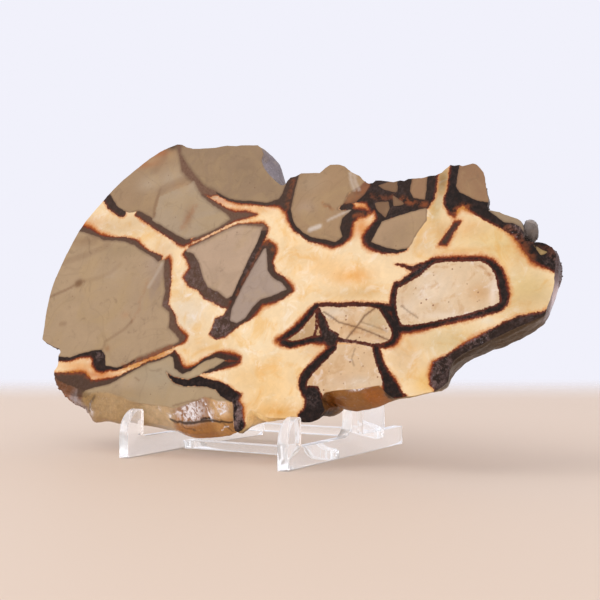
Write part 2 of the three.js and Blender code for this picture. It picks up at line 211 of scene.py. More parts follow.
# The rind: (colour, gloss, roughness of form, across, deep, up, reach).
RIND = (
    ("#857268", 0.1, 1.0, -64, 6, 42, 14),
    ("#8c7868", 0.1, 1.0, -60, 6, 60, 12),
    ("#8d735e", 0.1, 1.0, -45, 6, 80, 12),
    ("#947c62", 0.2, 0.8, -12, 6, 87, 14),
    ("#8b8183", 0.15, 0.5, 3, 4, 80, 6),
    ("#8c7a66", 0.2, 0.8, 20, 6, 77, 12),
    ("#75604f", 0.2, 0.9, 40, 6, 73, 10),
    ("#8b7558", 0.2, 0.8, 57, 6, 75, 8),
    ("#7f7875", 0.2, 1.0, 70, 6, 63, 8),
    ("#9b9188", 0.3, 1.4, 75.6, 2.5, 58.8, 2.2),
    ("#6f645f", 0.3, 1.4, 77, 5, 56, 2.2),
    ("#6b5552", 0.3, 1.0, 82, 5, 50, 5),
    ("#e0cfd2", 0.3, 0.4, 83, 5, 42.5, 3.4),
    ("#b3a8b2", 0.3, 0.5, 81, 5, 38, 3),
    ("#5a4730", 0.4, 0.6, 73, 5, 34, 9),
    ("#4a3928", 0.4, 0.6, 65, 5, 28, 8),
    ("#4a3426", 0.4, 0.9, 60, 4, 22, 4),
    ("#cfae72", 0.3, 0.6, 53, 5, 18, 5),
    ("#2a1c12", 0.3, 0.5, 46.6, 3, 17.5, 2.4),
    ("#a8672a", 0.6, 0.3, 41, 3, 18, 3),
    ("#9c6a34", 0.6, 0.3, 36, 4, 17, 5),
    ("#84501f", 0.25, 0.4, 31.4, 4, 17, 2.4),
    ("#33241a", 0.2, 0.5, 27, 4, 14, 3.4),
    ("#2a1c13", 0.2, 0.5, 29, 2, 13.5, 1.6),
    ("#eac27a", 0.4, 0.5, 18, 5, 12, 5),
    ("#ffdd9c", 0.5, 0.3, 12, 2.5, 12.5, 3.4),
    ("#33241a", 0.5, 0.6, 7.3, 4, 9, 1.9),
    # These three lens rows face downwards; their colours are made lighter to stand in for light bounced up onto
    # them: painted light over the rind's own amber.
    ("#c08e50", 0.9, 0.2, 1, 6, 9, 4),
    ("#a9743a", 0.9, 0.2, -6, 6, 8, 5),
    ("#b98044", 0.9, 0.2, -12, 5, 9, 4),
    ("#d8b07a", 0.95, 0.2, 1, 1.5, 14, 2.6),
    ("#a27c62", 0.95, 0.2, -8, 1.5, 13, 3.4),
    # These two belly rows face downwards; their colours are made lighter to stand in for light bounced up onto them:
    # painted light over the rind's own tan.
    ("#d3b78c", 0.6, 0.4, -18, 4, 11, 5),
    ("#b5966a", 0.5, 0.5, -32, 4, 12, 7),
    ("#a58556", 0.4, 0.7, -42.5, 1, 15, 2.6),
    ("#a99893", 0.25, 1.8, -47.5, 3, 13, 4),
    ("#7d5741", 0.2, 1.5, -45, 1, 15.5, 1.5),
    ("#a26c48", 0.2, 1.8, -51, 3, 18, 4),
    ("#4d3f35", 0.15, 1.0, -58, 6, 28, 4),
)
# Swells and dents of the rind: (how far out, (across, deep, up), reach).
SWELLS = (
    (1.7, (-41.6, 5, 10.6), 2.2),
    (-1.6, (-45.7, 4, 11.4), 2.3),
    (0.95, (73.9, 2.5, 57.6), 1.2),
    (0.5, (75.8, 1.4, 60), 1.0),
    (-0.6, (77, 3, 57.5), 1.0),
)
# Painted highlights: bright glints painted into the colour of the broken walls: (across, deep, reach across, reach
# deep, strength).
PAINTED_GLINTS = (
    (-8.6, 1.6, 3.2, 1.2, 1.3), (-11.2, 1.2, 1.6, 0.6, 0.8), (-15.2, 2.2, 0.7, 0.5, 0.9),
    (1.0, 1.0, 1.5, 0.8, 1.2), (38.5, 0.25, 1.8, 0.35, 1.2), (-2.4, 2.4, 0.9, 0.7, 0.7),
    (-17.8, 0.8, 0.4, 0.5, 0.9), (-41.5, 1.9, 0.5, 0.9, 0.6),
)
# Dark cracks on the broken walls: (half width, depth of colour, (across, deep) points).
CRACKS = (
    (0.2, 0.9, ((-15.4, 2.9), (-12, 2.7), (-9, 3), (-6, 3), (-2.6, 3.1), (0.5, 3.2), (3.4, 4))),
    (0.16, 0.5, ((-12, 2.7), (-11, 3.9), (-8, 4.4))),
    (0.18, 0.5, ((0.6, 3.4), (1.6, 5), (2, 6.5))),
    (0.2, 0.5, ((-39.9, 0.5), (-41.5, 1.2), (-42.5, 2.4))),
)
# Painted highlights: bright lines painted into the colour along ridges of the broken walls: (half width, strength,
# (across, deep) points).
PAINTED_RIDGE_GLINTS = (
    (0.16, 1.0, ((-4.8, 0.2), (-3.9, 1.8), (-2.5, 3.2))),
    (0.12, 0.8, ((-13.8, 1.6), (-11, 0.7), (-7.5, 0.4), (-5, 0.2))),
    (0.12, 0.7, ((-0.4, 4.9), (0.8, 4.3), (1.7, 4.5))),
    (0.12, 0.6, ((-1.2, 0.5), (0.2, 2.1), (2.2, 1.6))),
)
# Where the wall's mesh is finer: (from across, to across, longest edge).
FINE_WALLS = ((-20, 6, 0.35), (-54, -38, 0.5), (24, 48, 0.5))

# ---- the pattern of the polished face ----------------------------------------------------------------------
# Points are (across, up) in mm: across from the easel's middle, up the face from the surface it stands on.
# Mudstone islands: (finish, outline).
MUDSTONE = {
    "left_shield": ("mud", [
        (-70, 63.8), (-57, 63.5), (-50, 61.3), (-48, 60.4), (-43, 60.1), (-40, 59.6), (-36, 58.2),
        (-33, 56.4), (-29, 54.6), (-27, 53.2), (-24.9, 54), (-24.5, 51), (-23.3, 46.5), (-22.6, 44.5),
        (-22.8, 42.5), (-22.6, 40.5), (-20, 38.8), (-19.2, 36.5), (-19.3, 34.5), (-16.5, 32.7), (-15.2, 31.5),
        (-15, 30.7), (-16.5, 29.8), (-19, 29.3), (-23, 27.5), (-28, 25.9), (-31, 24.3), (-34, 23.3),
        (-38, 23.8), (-38.7, 26.5), (-40.5, 28.3), (-44, 27.8), (-48, 26.9), (-51, 25.8), (-55.6, 26),
        (-70, 26),
    ]),
    "lower_left": ("mud_olive", [
        (-43, 16.8), (-40, 17.8), (-35.5, 18.7), (-32.5, 20.2), (-28, 22.6), (-24, 24.6), (-20, 25.6),
        (-17, 26.9), (-16, 26.5), (-15.3, 25), (-14.8, 23.5), (-12, 22.1), (-9.5, 23), (-8, 24.2), (-6, 25.6),
        (-2.5, 26.7), (0.5, 26), (-2.5, 24), (-5.5, 22.7), (-6.8, 21.5), (-3.5, 20.3), (0, 19.6), (3, 18.4),
        (5, 17), (5.4, 14), (6, 10), (6, 2), (-60, 2), (-60, 10), (-48, 12),
    ]),
    "keystone": ("mud_rosy", [
        (-18, 56.5), (-12, 59), (-6, 61.7), (-2, 62.6), (3, 62), (5, 61.7), (3.9, 57), (2.3, 53), (1, 49),
        (0, 46), (-0.8, 43), (-2.5, 42.2), (-5, 44), (-9, 45.5), (-11, 48), (-13, 52), (-15.5, 55),
        (-18.3, 55.9),
    ]),
    "arrow": ("mud_arrow", [
        (7, 56), (8, 52.5), (8.7, 49.5), (11, 47.3), (13, 46.5), (15.3, 44.5), (12.5, 43.3), (10, 42.4),
        (8, 42), (6, 40), (4.3, 37), (2, 35.6), (-0.3, 36.5), (-0.3, 39.5), (1.2, 44), (3.8, 50.3),
        (6.3, 55.3),
    ]),
    "crown": ("mud_crown", [
        (-26.6, 85.5), (-22.9, 81.2), (-19.2, 77.5), (-16.3, 74.9), (-11.5, 72.6), (-7, 70.3), (-3, 69.5),
        (0, 69.3), (5, 68.4), (8.5, 69.3), (9.3, 70.8), (9.8, 73), (9.8, 77), (6, 92), (-28, 92),
    ]),
    "kite": ("mud_kite", [
        (-31.8, 73.2), (-24.3, 75.8), (-20, 76.6), (-16.5, 71.9), (-12, 68.8), (-7.5, 66.3), (-5.5, 64.5),
        (-9, 62.2), (-15, 59.9), (-19, 59.3), (-23.5, 61.3), (-28.3, 63.8), (-32, 65.5),
    ]),
    "upper_left": ("mud_upper", [
        (-33, 66.7), (-37.3, 68.7), (-41, 68.3), (-45.5, 70.4), (-49, 74.3), (-56, 80), (-45, 92), (-30, 92),
        (-26.8, 84.5), (-25, 80), (-20, 75.8), (-23.7, 74.2), (-30.3, 71.9), (-30.6, 65.5),
    ]),
    "top_middle": ("mud_grey", [
        (13.3, 75), (12.8, 70), (12.6, 66), (13.9, 62.8), (15.2, 61.2), (17.5, 59.4), (20, 58.1), (24, 57.3),
        (27, 56.5), (28.6, 57.8), (27.6, 60.5), (28, 63), (30.2, 64.8), (27.5, 66), (28.5, 69.3), (33, 71.6),
        (36, 78), (14, 82),
    ]),
    "rusty_chip": ("mud_rusty", [
        (27.8, 66), (31, 66.8), (33.3, 69), (34.4, 71.2), (33, 73.5), (31.5, 71.3), (28.5, 69),
    ]),
    "crumb_a": ("mud_dim", [
        (36.6, 70.9), (38.2, 69.8), (40.2, 69.1), (42, 68.6), (41.6, 74), (39.9, 74), (39.3, 71.9),
        (38, 71.4),
    ]),
    "crumb_b": ("mud_dim", [(36, 66.5), (40, 66.5), (40.5, 64.5), (39.7, 62.3), (37.3, 64.3)]),
    "crumb_c": ("mud_brown", [(45.6, 74), (49.3, 74), (49.6, 66.3), (46.5, 67), (45.3, 68.7)]),
    "crumb_d": ("mud_dim", [(40.7, 68.2), (43.5, 66.3), (44.3, 65.5), (41.5, 65.1)]),
    "lens": ("mud_lens", [
        (39, 61.3), (43, 62.6), (48, 63.8), (50.3, 64.2), (50.6, 61), (48.5, 57.8), (47.8, 56), (47, 54.2),
        (44, 53.8), (40.5, 54.6), (36.8, 56.1), (38, 59.5),
    ]),
    "top_right": ("mud_brown", [
        (57.3, 76), (60.5, 78), (67, 74), (65.5, 64.6), (62.5, 65.2), (58, 67.7), (56.9, 69.3),
    ]),
    "right_strip": ("mud_strip", [
        (65.6, 62.6), (67.5, 61), (69.7, 59.4), (71.5, 59.2), (73.3, 58.2), (74.5, 56.6), (75.2, 55.4),
        (76, 57), (77, 62), (70, 64),
    ]),
    "right_corner": ("mud_khaki", [(76.8, 53.7), (80, 51.8), (78.6, 51.1)]),
}
# Dark aragonite that lies under the mudstone's edges: (rust, outline). Rust 0 is black, 1 is brown.
SEAMS = {
    "c": (0.5, [
        (-70, 66.2), (-57, 65.3), (-54, 64.5), (-50, 62.3), (-46, 61.4), (-40, 61), (-35.5, 59.8),
        (-34, 58.5), (-31, 56.6), (-27, 55.3), (-26, 54.8), (-26, 53.5), (-30, 52), (-45, 58), (-70, 60),
    ]),
    "d": (0.6, [
        (-23.5, 54.5), (-22.3, 52), (-21.3, 47.5), (-20.8, 43.5), (-20.6, 41), (-18.5, 38.8), (-17.3, 37.3),
        (-16.8, 35.8), (-15, 33.8), (-12.6, 32.2), (-12.8, 31.2), (-13.5, 30.4), (-16.5, 29.2), (-19, 31),
        (-22, 36), (-25, 41), (-26, 47), (-25.5, 53),
    ]),
    "e": (0.05, [
        (-57, 24.6), (-55.3, 24.6), (-51, 24.7), (-48, 25.8), (-44, 26.1), (-43, 25.3), (-42.7, 24),
        (-41, 22.2), (-38.3, 21.8), (-36.3, 22.5), (-34, 22.4), (-31, 23.3), (-28, 24.8), (-28, 27),
        (-38, 30), (-57, 29),
    ]),
    "e_tail": (0.95, [
        (-30, 23.8), (-28, 24.5), (-24, 26), (-19.5, 27.7), (-16.5, 28.9), (-16.5, 30.2), (-20, 29.5),
        (-28, 26.5),
    ]),
    "f": (0.35, [
        (-57, 21.5), (-53.5, 21.5), (-50, 21.6), (-46, 21.9), (-44.5, 21.6), (-42, 19.8), (-40, 19.7),
        (-35, 20.5), (-32, 21.4), (-28, 23.3), (-24, 25.2), (-20, 26.2), (-17, 27.6), (-16, 26), (-24, 23.5),
        (-32, 19), (-40, 16.8), (-43, 14.6), (-46, 15), (-50, 15.5), (-57, 17),
    ]),
    "g": (0.15, [
        (-16, 28.6), (-14, 26.9), (-12.5, 24.5), (-11, 23.8), (-8.5, 24.5), (-6, 26.4), (-3, 28), (-1, 28.2),
        (3, 27.6), (4.8, 27), (5.1, 25.9), (4, 25.5), (0.5, 25.8), (-2.5, 26), (-8, 23.6), (-12, 21.5),
        (-15.5, 23), (-17, 27),
    ]),
    "sliver": (0.15, [
        (-5.8, 22.3), (-3.5, 22.6), (0.5, 23.8), (3.5, 24.6), (5, 25.3), (5.1, 25.9), (2.5, 26.2),
        (-2.5, 25.2), (-5.5, 23.5),
    ]),
    "keystone_top": (0.8, [
        (-17.5, 57.2), (-10, 60.4), (-3, 63), (5, 62.8), (6.9, 61.3), (6.5, 60), (4, 60), (-5, 60),
        (-17, 55.8),
    ]),
    "keystone_right": (0.15, [
        (6.9, 60.5), (5.9, 56.5), (4.1, 51), (2.1, 45), (0.5, 41), (-2.5, 42), (-0.5, 47), (1.5, 54),
        (3.5, 61), (5.2, 62),
    ]),
    "keystone_left": (0.4, [
        (-19, 55), (-17.5, 53.2), (-16, 51), (-17.5, 48.5), (-15.5, 46), (-11.8, 44.5), (-9.5, 42.3),
        (-6.5, 41.3), (-3.8, 40), (-1.5, 39.5), (-0.5, 43), (-5, 46), (-9, 48), (-12, 53), (-16, 56),
        (-18.5, 56),
    ]),
    "arrow": (0.25, [
        (6, 57.5), (7.3, 58), (9.8, 56.3), (10.3, 55), (9.8, 52), (11.2, 49.2), (14, 47.7), (16.5, 45.3),
        (17.2, 44), (15.5, 42.4), (12.5, 41), (8.8, 40.3), (7.5, 38.3), (5.5, 36.3), (3.5, 35.4), (1.5, 33.8),
        (-0.8, 32), (-3.5, 31.3), (-6, 32.8), (-5.2, 35), (-5, 37), (-2.5, 37.8), (-1.2, 41), (1.5, 47),
        (5, 56),
    ]),
    "crown_vein": (0.85, [
        (-31, 92), (-25, 92), (-25.7, 85.7), (-22, 81.5), (-18.3, 78), (-15.5, 75.2), (-11.8, 73.4),
        (-10.8, 71.8), (-13.5, 71.5), (-17.5, 72.5), (-20, 75.2), (-25, 79.5), (-28, 84),
    ]),
    "crown_edge": (0.25, [
        (-16, 75.6), (-11.5, 73), (-7, 70.7), (-3, 70), (5, 69), (8.3, 70), (8.9, 71), (9.2, 74), (9.2, 80),
        (14, 80), (13.6, 74.5), (13.2, 71), (13, 65.8), (10.8, 65.6), (8.5, 67.3), (5, 67.4), (0, 68.3),
        (-3, 68.6), (-7, 69.6), (-11, 71.5), (-14.8, 73.6),
    ]),
    "kite_edge": (0.65, [
        (-18, 74), (-14.5, 71.4), (-11, 69.7), (-7.5, 67.7), (-5, 66.8), (0, 66.3), (2.7, 65.3), (0, 64.5),
        (-4, 63.7), (-9, 61.5), (-15, 59), (-18, 58.4), (-15, 60.8), (-9, 63), (-7, 64.5), (-8, 66),
        (-12, 68), (-17, 71.5),
    ]),
    "b": (0.4, [
        (-38.5, 67.5), (-33.5, 64.7), (-29.5, 62.3), (-24.5, 59.8), (-21, 57.7), (-19.5, 57.3), (-17, 58.2),
        (-18, 60.5), (-22, 62), (-28, 66), (-32.5, 69), (-37.5, 70),
    ]),
    "a": (0.15, [
        (-51.3, 72.8), (-49, 70), (-46.5, 68.6), (-44, 67.3), (-42.2, 67), (-41.8, 68.3), (-43, 69.9),
        (-46, 71.8), (-48.4, 74.6), (-50, 77), (-54, 80), (-57, 74),
    ]),
    "top_middle": (0.1, [
        (10.8, 66.4), (12.2, 63.1), (14.4, 60.2), (16.9, 58.7), (19.2, 56.9), (23, 56.1), (26.3, 55),
        (29.3, 55.8), (31.2, 57.7), (31, 60), (31.2, 61.5), (32.6, 62.8), (34.2, 62.8), (35.6, 63.6),
        (33.8, 65), (29, 65.4), (27, 62), (25, 60), (13.5, 67),
    ]),
    "top_mix": (0.05, [
        (27, 65.6), (29.5, 66.3), (31, 66.9), (33.8, 66.4), (35.6, 63.6), (36.6, 64.5), (37.2, 62),
        (35.2, 59.5), (34.2, 57.5), (34.7, 55.8), (36.5, 54.3), (40.3, 52.9), (44, 52.8), (46.5, 53.6),
        (47, 56), (42, 58), (41, 62), (50.6, 64.1), (51.5, 65.5), (52.2, 68), (52.1, 76), (34, 76), (31, 73),
    ]),
    "right": (0.0, [
        (54.9, 77), (57.4, 77), (57.6, 72), (62, 66.5), (65.5, 65), (67, 63), (69, 62), (73, 60), (77, 59),
        (78, 55), (82, 54), (84, 50), (83, 46.9), (81.7, 47.2), (79.5, 48.3), (76.5, 49.8), (74.5, 52.5),
        (72, 56), (67.5, 58.7), (63, 61.3), (60.6, 63), (59.4, 64.1), (58.3, 63.6), (57.5, 61.4), (56, 62.3),
        (54.5, 64.5), (54.2, 66.3), (54.8, 68.5),
    ]),
    "small_bar": (0.2, [(57.6, 60.4), (59.3, 60.3), (56.4, 54.5), (54, 54.5)]),
}
# Dark aragonite that lies over the mudstone: (rust, outline).
HOOKS = {
    "chip_root": (0.1, [
        (26.2, 65.4), (27.5, 64.9), (30, 65), (30.9, 65.7), (30.5, 66.6), (29, 66.7), (27.2, 66.3),
    ]),
    "hook": (0.0, [
        (-17.4, 22.6), (-14.8, 21.4), (-10, 20.7), (-7, 21.8), (-3.5, 21.1), (0, 20.6), (3, 19.4), (5, 18.3),
        (7.2, 17.6), (6.5, 15.9), (7.8, 14.5), (8.5, 12), (9.7, 9.8), (9, 6), (6.6, 6), (6.2, 9.5),
        (5.4, 12.5), (5, 15), (0.8, 16.8), (-1, 18.3), (-4, 19), (-11, 18.9), (-14, 19.6), (-16, 21),
    ]),
    "saddle": (0.05, [
        (24.6, 40.3), (27.3, 37.2), (29, 34.2), (31.7, 33), (31.4, 30.4), (29.3, 29.1), (26.8, 31.7),
        (24.6, 37.5),
    ]),
    "stump": (0.0, [
        (25.4, 20.3), (28, 20.2), (29, 18.7), (29.9, 17), (32.2, 15), (30, 11), (24.5, 10), (23.6, 13.3),
        (25, 15), (24.8, 17), (23.8, 19),
    ]),
    "flank": (0.05, [
        (83, 39.8), (79.8, 38.3), (74.5, 37.3), (71, 35.6), (67, 33.2), (63, 31), (59.5, 28.6), (56.2, 26.6),
        (55.7, 23.8), (55.9, 21.5), (57, 20.3), (58, 16), (66, 22), (86, 34),
    ]),
}
# Dark aragonite as strokes, most of them round the cream islands: (across, up, half width).
STROKES = {
    "large_left": [
        (44.8, 45.2, 0.78), (44.4, 42.5, 0.83), (44.6, 40, 0.88), (45.2, 37.5, 0.98), (46.3, 35, 1.18),
    ],
    "large_bottom": [
        (46.6, 34.3, 1.18), (50, 34.35, 0.93), (53, 34.9, 0.83), (56, 35.45, 0.83), (59, 36.2, 0.78),
        (62, 36.9, 0.78), (65, 37.6, 0.88), (68, 38.5, 0.93), (70.3, 39.3, 1.1), (71.3, 40.2, 1),
    ],
    "large_right": [
        (71.3, 40.4, 1.1), (71.2, 42.2, 1.3), (70.4, 45, 1.2), (69.3, 47.7, 1.1), (67.5, 49.8, 0.88),
        (65, 50.8, 0.68), (61, 50.9, 0.63), (57, 50.9, 0.63), (53.5, 50.8, 0.78), (51.8, 49.6, 1),
        (50, 48.1, 1.1), (48, 46.7, 1), (46.3, 45.5, 0.85), (44.9, 44.8, 0.7),
    ],
    "spike": [(43.8, 50.2, 0.17), (46, 49.8, 0.37), (48.3, 48.9, 0.63), (50.5, 49.8, 0.58)],
    "middle_top": [
        (24, 40.3, 0.48), (26.5, 40.4, 0.63), (30, 40.2, 0.58), (34, 40.4, 0.63), (38, 40.3, 0.58),
        (41, 39.9, 0.78), (43, 39.4, 1.08), (44.6, 39, 0.98),
    ],
    "middle_right": [
        (42.3, 39, 0.98), (44, 37, 1.08), (45.6, 35, 1.18), (46.5, 33, 1.18), (45.8, 31.2, 0.98),
        (43.7, 30.3, 0.68),
    ],
    "middle_bottom": [
        (31, 31.8, 0.78), (33.2, 31.3, 0.47), (35.5, 31.2, 0.42), (38, 30.8, 0.42), (41, 30.3, 0.48),
        (44, 30.3, 0.68),
    ],
    "small_top": [
        (14.6, 31.2, 0.3), (16.7, 32, 0.95), (19.5, 34, 1.15), (21.8, 36.6, 1.1), (23.4, 39, 1),
        (24.5, 40.2, 0.8),
    ],
    "small_bottom": [
        (16.5, 30.9, 1.08), (18.5, 30.2, 1.03), (21, 30.7, 0.85), (24, 31.5, 0.9), (27, 31.6, 1.2),
    ],
    "small_right": [(24.6, 38.5, 0.48), (24.9, 36, 0.32), (25.2, 34, 0.42), (24.8, 32, 0.48)],
    "lower_left": [
        (30.5, 29.6, 1.05), (29, 28, 1.15), (27.1, 26.1, 1.3), (25.2, 24.1, 1.4), (23.8, 22, 1.4),
        (23.7, 20.3, 1.2), (24.8, 18.3, 1),
    ],
    "lower_right": [
        (41.8, 29.5, 0.98), (42.5, 27.5, 1.03), (43.5, 25.5, 1.08), (44.8, 23.5, 1.2), (46, 21.6, 1.75),
        (46.9, 19.8, 2.2), (48.8, 18.9, 1.1), (50.5, 18.5, 0.4),
    ],
    "bar_left": [(43.4, 75, 1.58), (43.3, 71, 1.58), (44.3, 68.3, 1.18), (46, 66.3, 0.58)],
    "bar_right": [(50.8, 75, 1.2), (50.8, 70, 1.2), (51, 66.5, 1)],
}
# Cream islands, bounded by the strokes: (finish, outline).
CREAM = {
    "large": ("cream", [
        (45, 45), (48, 47), (51.5, 50.2), (53.5, 51), (61, 50.9), (67.5, 50), (69.4, 48), (71, 44),
        (72, 39.8), (65, 37.7), (56, 35.5), (47, 34.2), (45, 37), (44.5, 40), (44.3, 42.5),
    ]),
    "middle": ("cream_warm", [
        (24.5, 40.3), (30, 40.3), (38, 40.3), (42.5, 39), (45.7, 35), (46.6, 33), (45.8, 31.2), (40, 30.4),
        (31.5, 31), (29, 33), (26.3, 36),
    ]),
    "small": ("tan", [
        (16, 31), (19.5, 34.3), (23.5, 39), (24.8, 38.5), (26.3, 36), (28, 33.5), (27, 31.5), (21, 30.7),
        (18, 30.2),
    ]),
    "lower": ("cream_warm", [
        (31, 30.5), (40, 30.4), (42.5, 27.5), (44, 23.3), (46, 21), (44, 20.8), (38, 20), (32, 19.2),
        (28.5, 18.5), (25, 20), (23, 21.8), (24.5, 24), (28.8, 28.5),
    ]),
}
# Hairlines and stained lines: (kind, half width, depth of colour, points). Kind is brown, pale or rust.
LINES = {
    "shield_long": ("brown", 0.4, 0.45, [(-64, 43.6), (-58, 45.7), (-55.3, 47), (-52, 48.2)]),
    "shield_long_faint": ("brown", 0.6, 0.15, [(-52, 48.2), (-47, 49), (-43, 50.5), (-40, 53)]),
    "shield_spot": ("brown", 0.9, 0.6, [(-54.4, 47.4), (-53.5, 47.7)]),
    "shield_top": ("brown", 0.9, 0.22, [(-62, 54), (-56, 55.5), (-50, 57.2), (-46, 58.8)]),
    "shield_dot": ("brown", 0.6, 0.3, [(-57.3, 35.5), (-55.8, 35.6)]),
    "shield_low": ("brown", 0.4, 0.3, [(-40, 28.6), (-39.7, 30.5), (-37, 32.2), (-34, 34), (-31.8, 36.3)]),
    "shield_rosy": ("rust", 0.5, 0.22, [
        (-31.8, 36.3), (-30.2, 39.5), (-30.7, 42), (-29.8, 44.5), (-29.4, 48),
    ]),
    "shield_pale": ("pale", 0.45, 0.2, [(-28.5, 46), (-27, 49), (-25.5, 52.5)]),
    "upper_left_down": ("brown", 0.45, 0.4, [(-31.2, 75), (-31.8, 71.5), (-32, 69), (-31.3, 66.5)]),
    "upper_left_across": ("brown", 1.1, 0.24, [(-31, 74.6), (-28, 75.9), (-25, 76.9), (-22.5, 77.8)]),
    "upper_left_top": ("brown", 1.1, 0.18, [(-34, 81), (-33.3, 83), (-32, 85)]),
    "kite_streak": ("rust", 0.8, 0.32, [(-18, 69), (-19.3, 66), (-21, 63)]),
    "middle_pale": ("pale", 0.55, 0.7, [(19.2, 60.2), (21.8, 61)]),
    "middle_ray": ("pale", 0.35, 0.45, [(24, 62.5), (27.5, 64), (30.5, 65)]),
    "middle_top_pale": ("pale", 0.4, 0.4, [(28.3, 75), (29, 72.5), (30.2, 70.3)]),
    "middle_top_pale_b": ("pale", 0.4, 0.35, [(29.5, 74.5), (30.3, 72), (31.5, 70.2)]),
    "middle_dark": ("rust", 0.35, 0.6, [(21.7, 67.4), (22.3, 66.5), (23.6, 66.1), (24.9, 65.2)]),
    "middle_dark_b": ("brown", 0.3, 0.4, [(22.2, 67), (23.3, 66.8), (24.1, 65.9)]),
    "chip_rust": ("rust", 0.7, 0.45, [(28.5, 67.2), (31, 68.2), (33, 70.3), (34, 71.5)]),
    "inlet_rust": ("rust", 0.5, 0.7, [(31.2, 63.2), (33, 63.6), (35, 63.3)]),
    "mix_rust": ("rust", 0.7, 0.75, [(43.5, 67), (45.5, 66), (47.5, 65.4), (49.8, 65.1)]),
    "mix_rust_b": ("rust", 0.6, 0.4, [(35, 68.5), (38, 67.4), (41, 67.6)]),
    "right_rust": ("rust", 0.8, 0.85, [(57.6, 62.9), (58.8, 63.9), (60.3, 63.6)]),
    "corner_rust": ("rust", 0.9, 0.5, [(70.5, 57.8), (73, 55.5), (74.6, 53.2), (76.4, 50.8)]),
    "corner_rust_b": ("rust", 0.9, 0.22, [(76.2, 54.5), (79, 54), (81.5, 51)]),
    "crown_gap_rust": ("rust", 0.6, 0.45, [(11.4, 66.5), (11.4, 70), (11.9, 74)]),
    "arrow_rust": ("rust", 0.35, 0.55, [(5.3, 55.5), (3.6, 51), (1.9, 46.8), (0.5, 43.2)]),
    "arrow_top_rust": ("rust", 0.5, 0.6, [(6.3, 57.2), (8, 57), (9.3, 55)]),
    "large_fold": ("rust", 0.3, 0.6, [(63.5, 49.8), (65.5, 48.8), (67.3, 47), (67.9, 45.7)]),
    "large_rim": ("rust", 0.3, 0.28, [
        (47, 39.8), (46.7, 42.5), (47.3, 45), (50.6, 47.6), (53, 49.2), (57, 49.2),
    ]),
    "large_crack": ("brown", 0.14, 0.4, [(46.8, 39.9), (49, 38.3), (51.3, 36.9)]),
    "middle_crack_a": ("brown", 0.18, 0.6, [
        (26.5, 38.5), (29, 37.2), (31, 35.9), (34, 35.2), (37, 34.4), (41, 33), (44.8, 31.5),
    ]),
    "middle_crack_b": ("brown", 0.22, 0.65, [
        (40, 39.3), (37.8, 37.6), (36.8, 36), (35.2, 33.8), (33.8, 31.8),
    ]),
    "middle_crack_c": ("brown", 0.12, 0.3, [(36.8, 36), (39.5, 35.2), (43.8, 33.8)]),
    "middle_rust": ("rust", 0.5, 0.4, [(34.5, 33.2), (37, 33.6), (40, 32.4), (43, 31.8)]),
    "lower_crack": ("brown", 0.14, 0.35, [(36.3, 29.5), (35.8, 27), (36.6, 25.5)]),
    "lower_left_scratch": ("brown", 0.2, 0.4, [(-27, 20.8), (-25.5, 20)]),
    "channel_rust": ("rust", 0.7, 0.7, [(-31, 23.2), (-27, 24.4), (-22, 26.6), (-17.5, 28.3)]),
    "shield_tail_rust": ("rust", 0.5, 0.5, [(-33, 24), (-28, 25.4), (-22, 27.8), (-17, 29.6)]),
    "left_rust": ("rust", 0.6, 0.5, [
        (-56.5, 21.3), (-52, 21.5), (-46.5, 21.7), (-43.5, 20.7), (-41.5, 19.6),
    ]),
    "left_rust_b": ("rust", 0.8, 0.45, [(-57, 24), (-57, 20), (-55, 17.5)]),
    "crease": ("brown", 0.2, 0.5, [(-13, 13.8), (-8, 15.2), (-2, 16.1)]),
}

# ---- distances on the face ---------------------------------------------------------------------------------
def segments_of(points, closed):
    """Start and end points of an outline's or a line's segments."""
    p = np.array([q[:2] for q in points], np.float32)
    return (p, np.roll(p, -1, axis=0)) if closed else (p[:-1], p[1:])


def along_segments(at, start, end):
    """For each point and segment: the squared distance between them, and the nearest place along the segment."""
    at = at.astype(np.float32)
    (dx, dy), (tx, ty) = (end - start).T, (at[:, k : k + 1] - start[:, k] for k in (0, 1))
    t = np.clip((tx * dx + ty * dy) / np.maximum(dx * dx + dy * dy, 1e-9), 0, 1)
    return (tx - t * dx) ** 2 + (ty - t * dy) ** 2, t


def outline_distance(at, points):
    """Signed distance to a closed outline, in mm, negative inside."""
    start, end = segments_of(points, closed=True)
    gap, _ = along_segments(at, start, end)
    y = at[:, 1:2].astype(np.float32)
    crosses = (start[:, 1] > y) != (end[:, 1] > y)
    rise = end[:, 1] - start[:, 1]
    slope = (end[:, 0] - start[:, 0]) / np.where(rise == 0, 1, rise)
    inside = (crosses & (at[:, 0:1] < start[:, 0] + (y - start[:, 1]) * slope)).sum(1) % 2 == 1
    return np.where(inside, -1, 1) * np.sqrt(gap.min(1))


def stroke_distance(at, points):
    """Signed distance to a stroke whose half width changes along it."""
    start, end = segments_of(points, closed=False)
    width = np.array([q[2] for q in points], np.float32)
    gap, t = along_segments(at, start, end)
    return (np.sqrt(gap) - (width[:-1] + t * (width[1:] - width[:-1]))).min(1)


def line_distance(at, points):
    """Plain distance to an open line."""
    start, end = segments_of(points, closed=False)
    return np.sqrt(along_segments(at, start, end)[0].min(1))


def nearest_of(distances, values):
    """The value of whichever shape each point lies deepest in or nearest to."""
    return np.array(values)[np.argmin(np.array(distances), axis=0)]


def tinted(base, at, tints):
    """Base colours with soft named patches laid over them."""
    out = base.copy()
    for code, across, up, wide, high, strength in tints:
        near = np.exp(-(((at[:, 0] - across) / wide) ** 2) - ((at[:, 1] - up) / high) ** 2)
        weight = (strength * near)[:, None]
        out = out * (1 - weight) + np.array(colour(code)) * weight
    return out


def nearby(at, spots):
    """How near each point lies to any of some soft round places, from 0 to 1."""
    out = np.zeros(len(at))
    for across, up, reach, strength in spots:
        far = ((at[:, 0] - across) ** 2 + (at[:, 1] - up) ** 2) / reach**2
        out = np.maximum(out, strength * np.exp(-(far**1.5)))
    return out


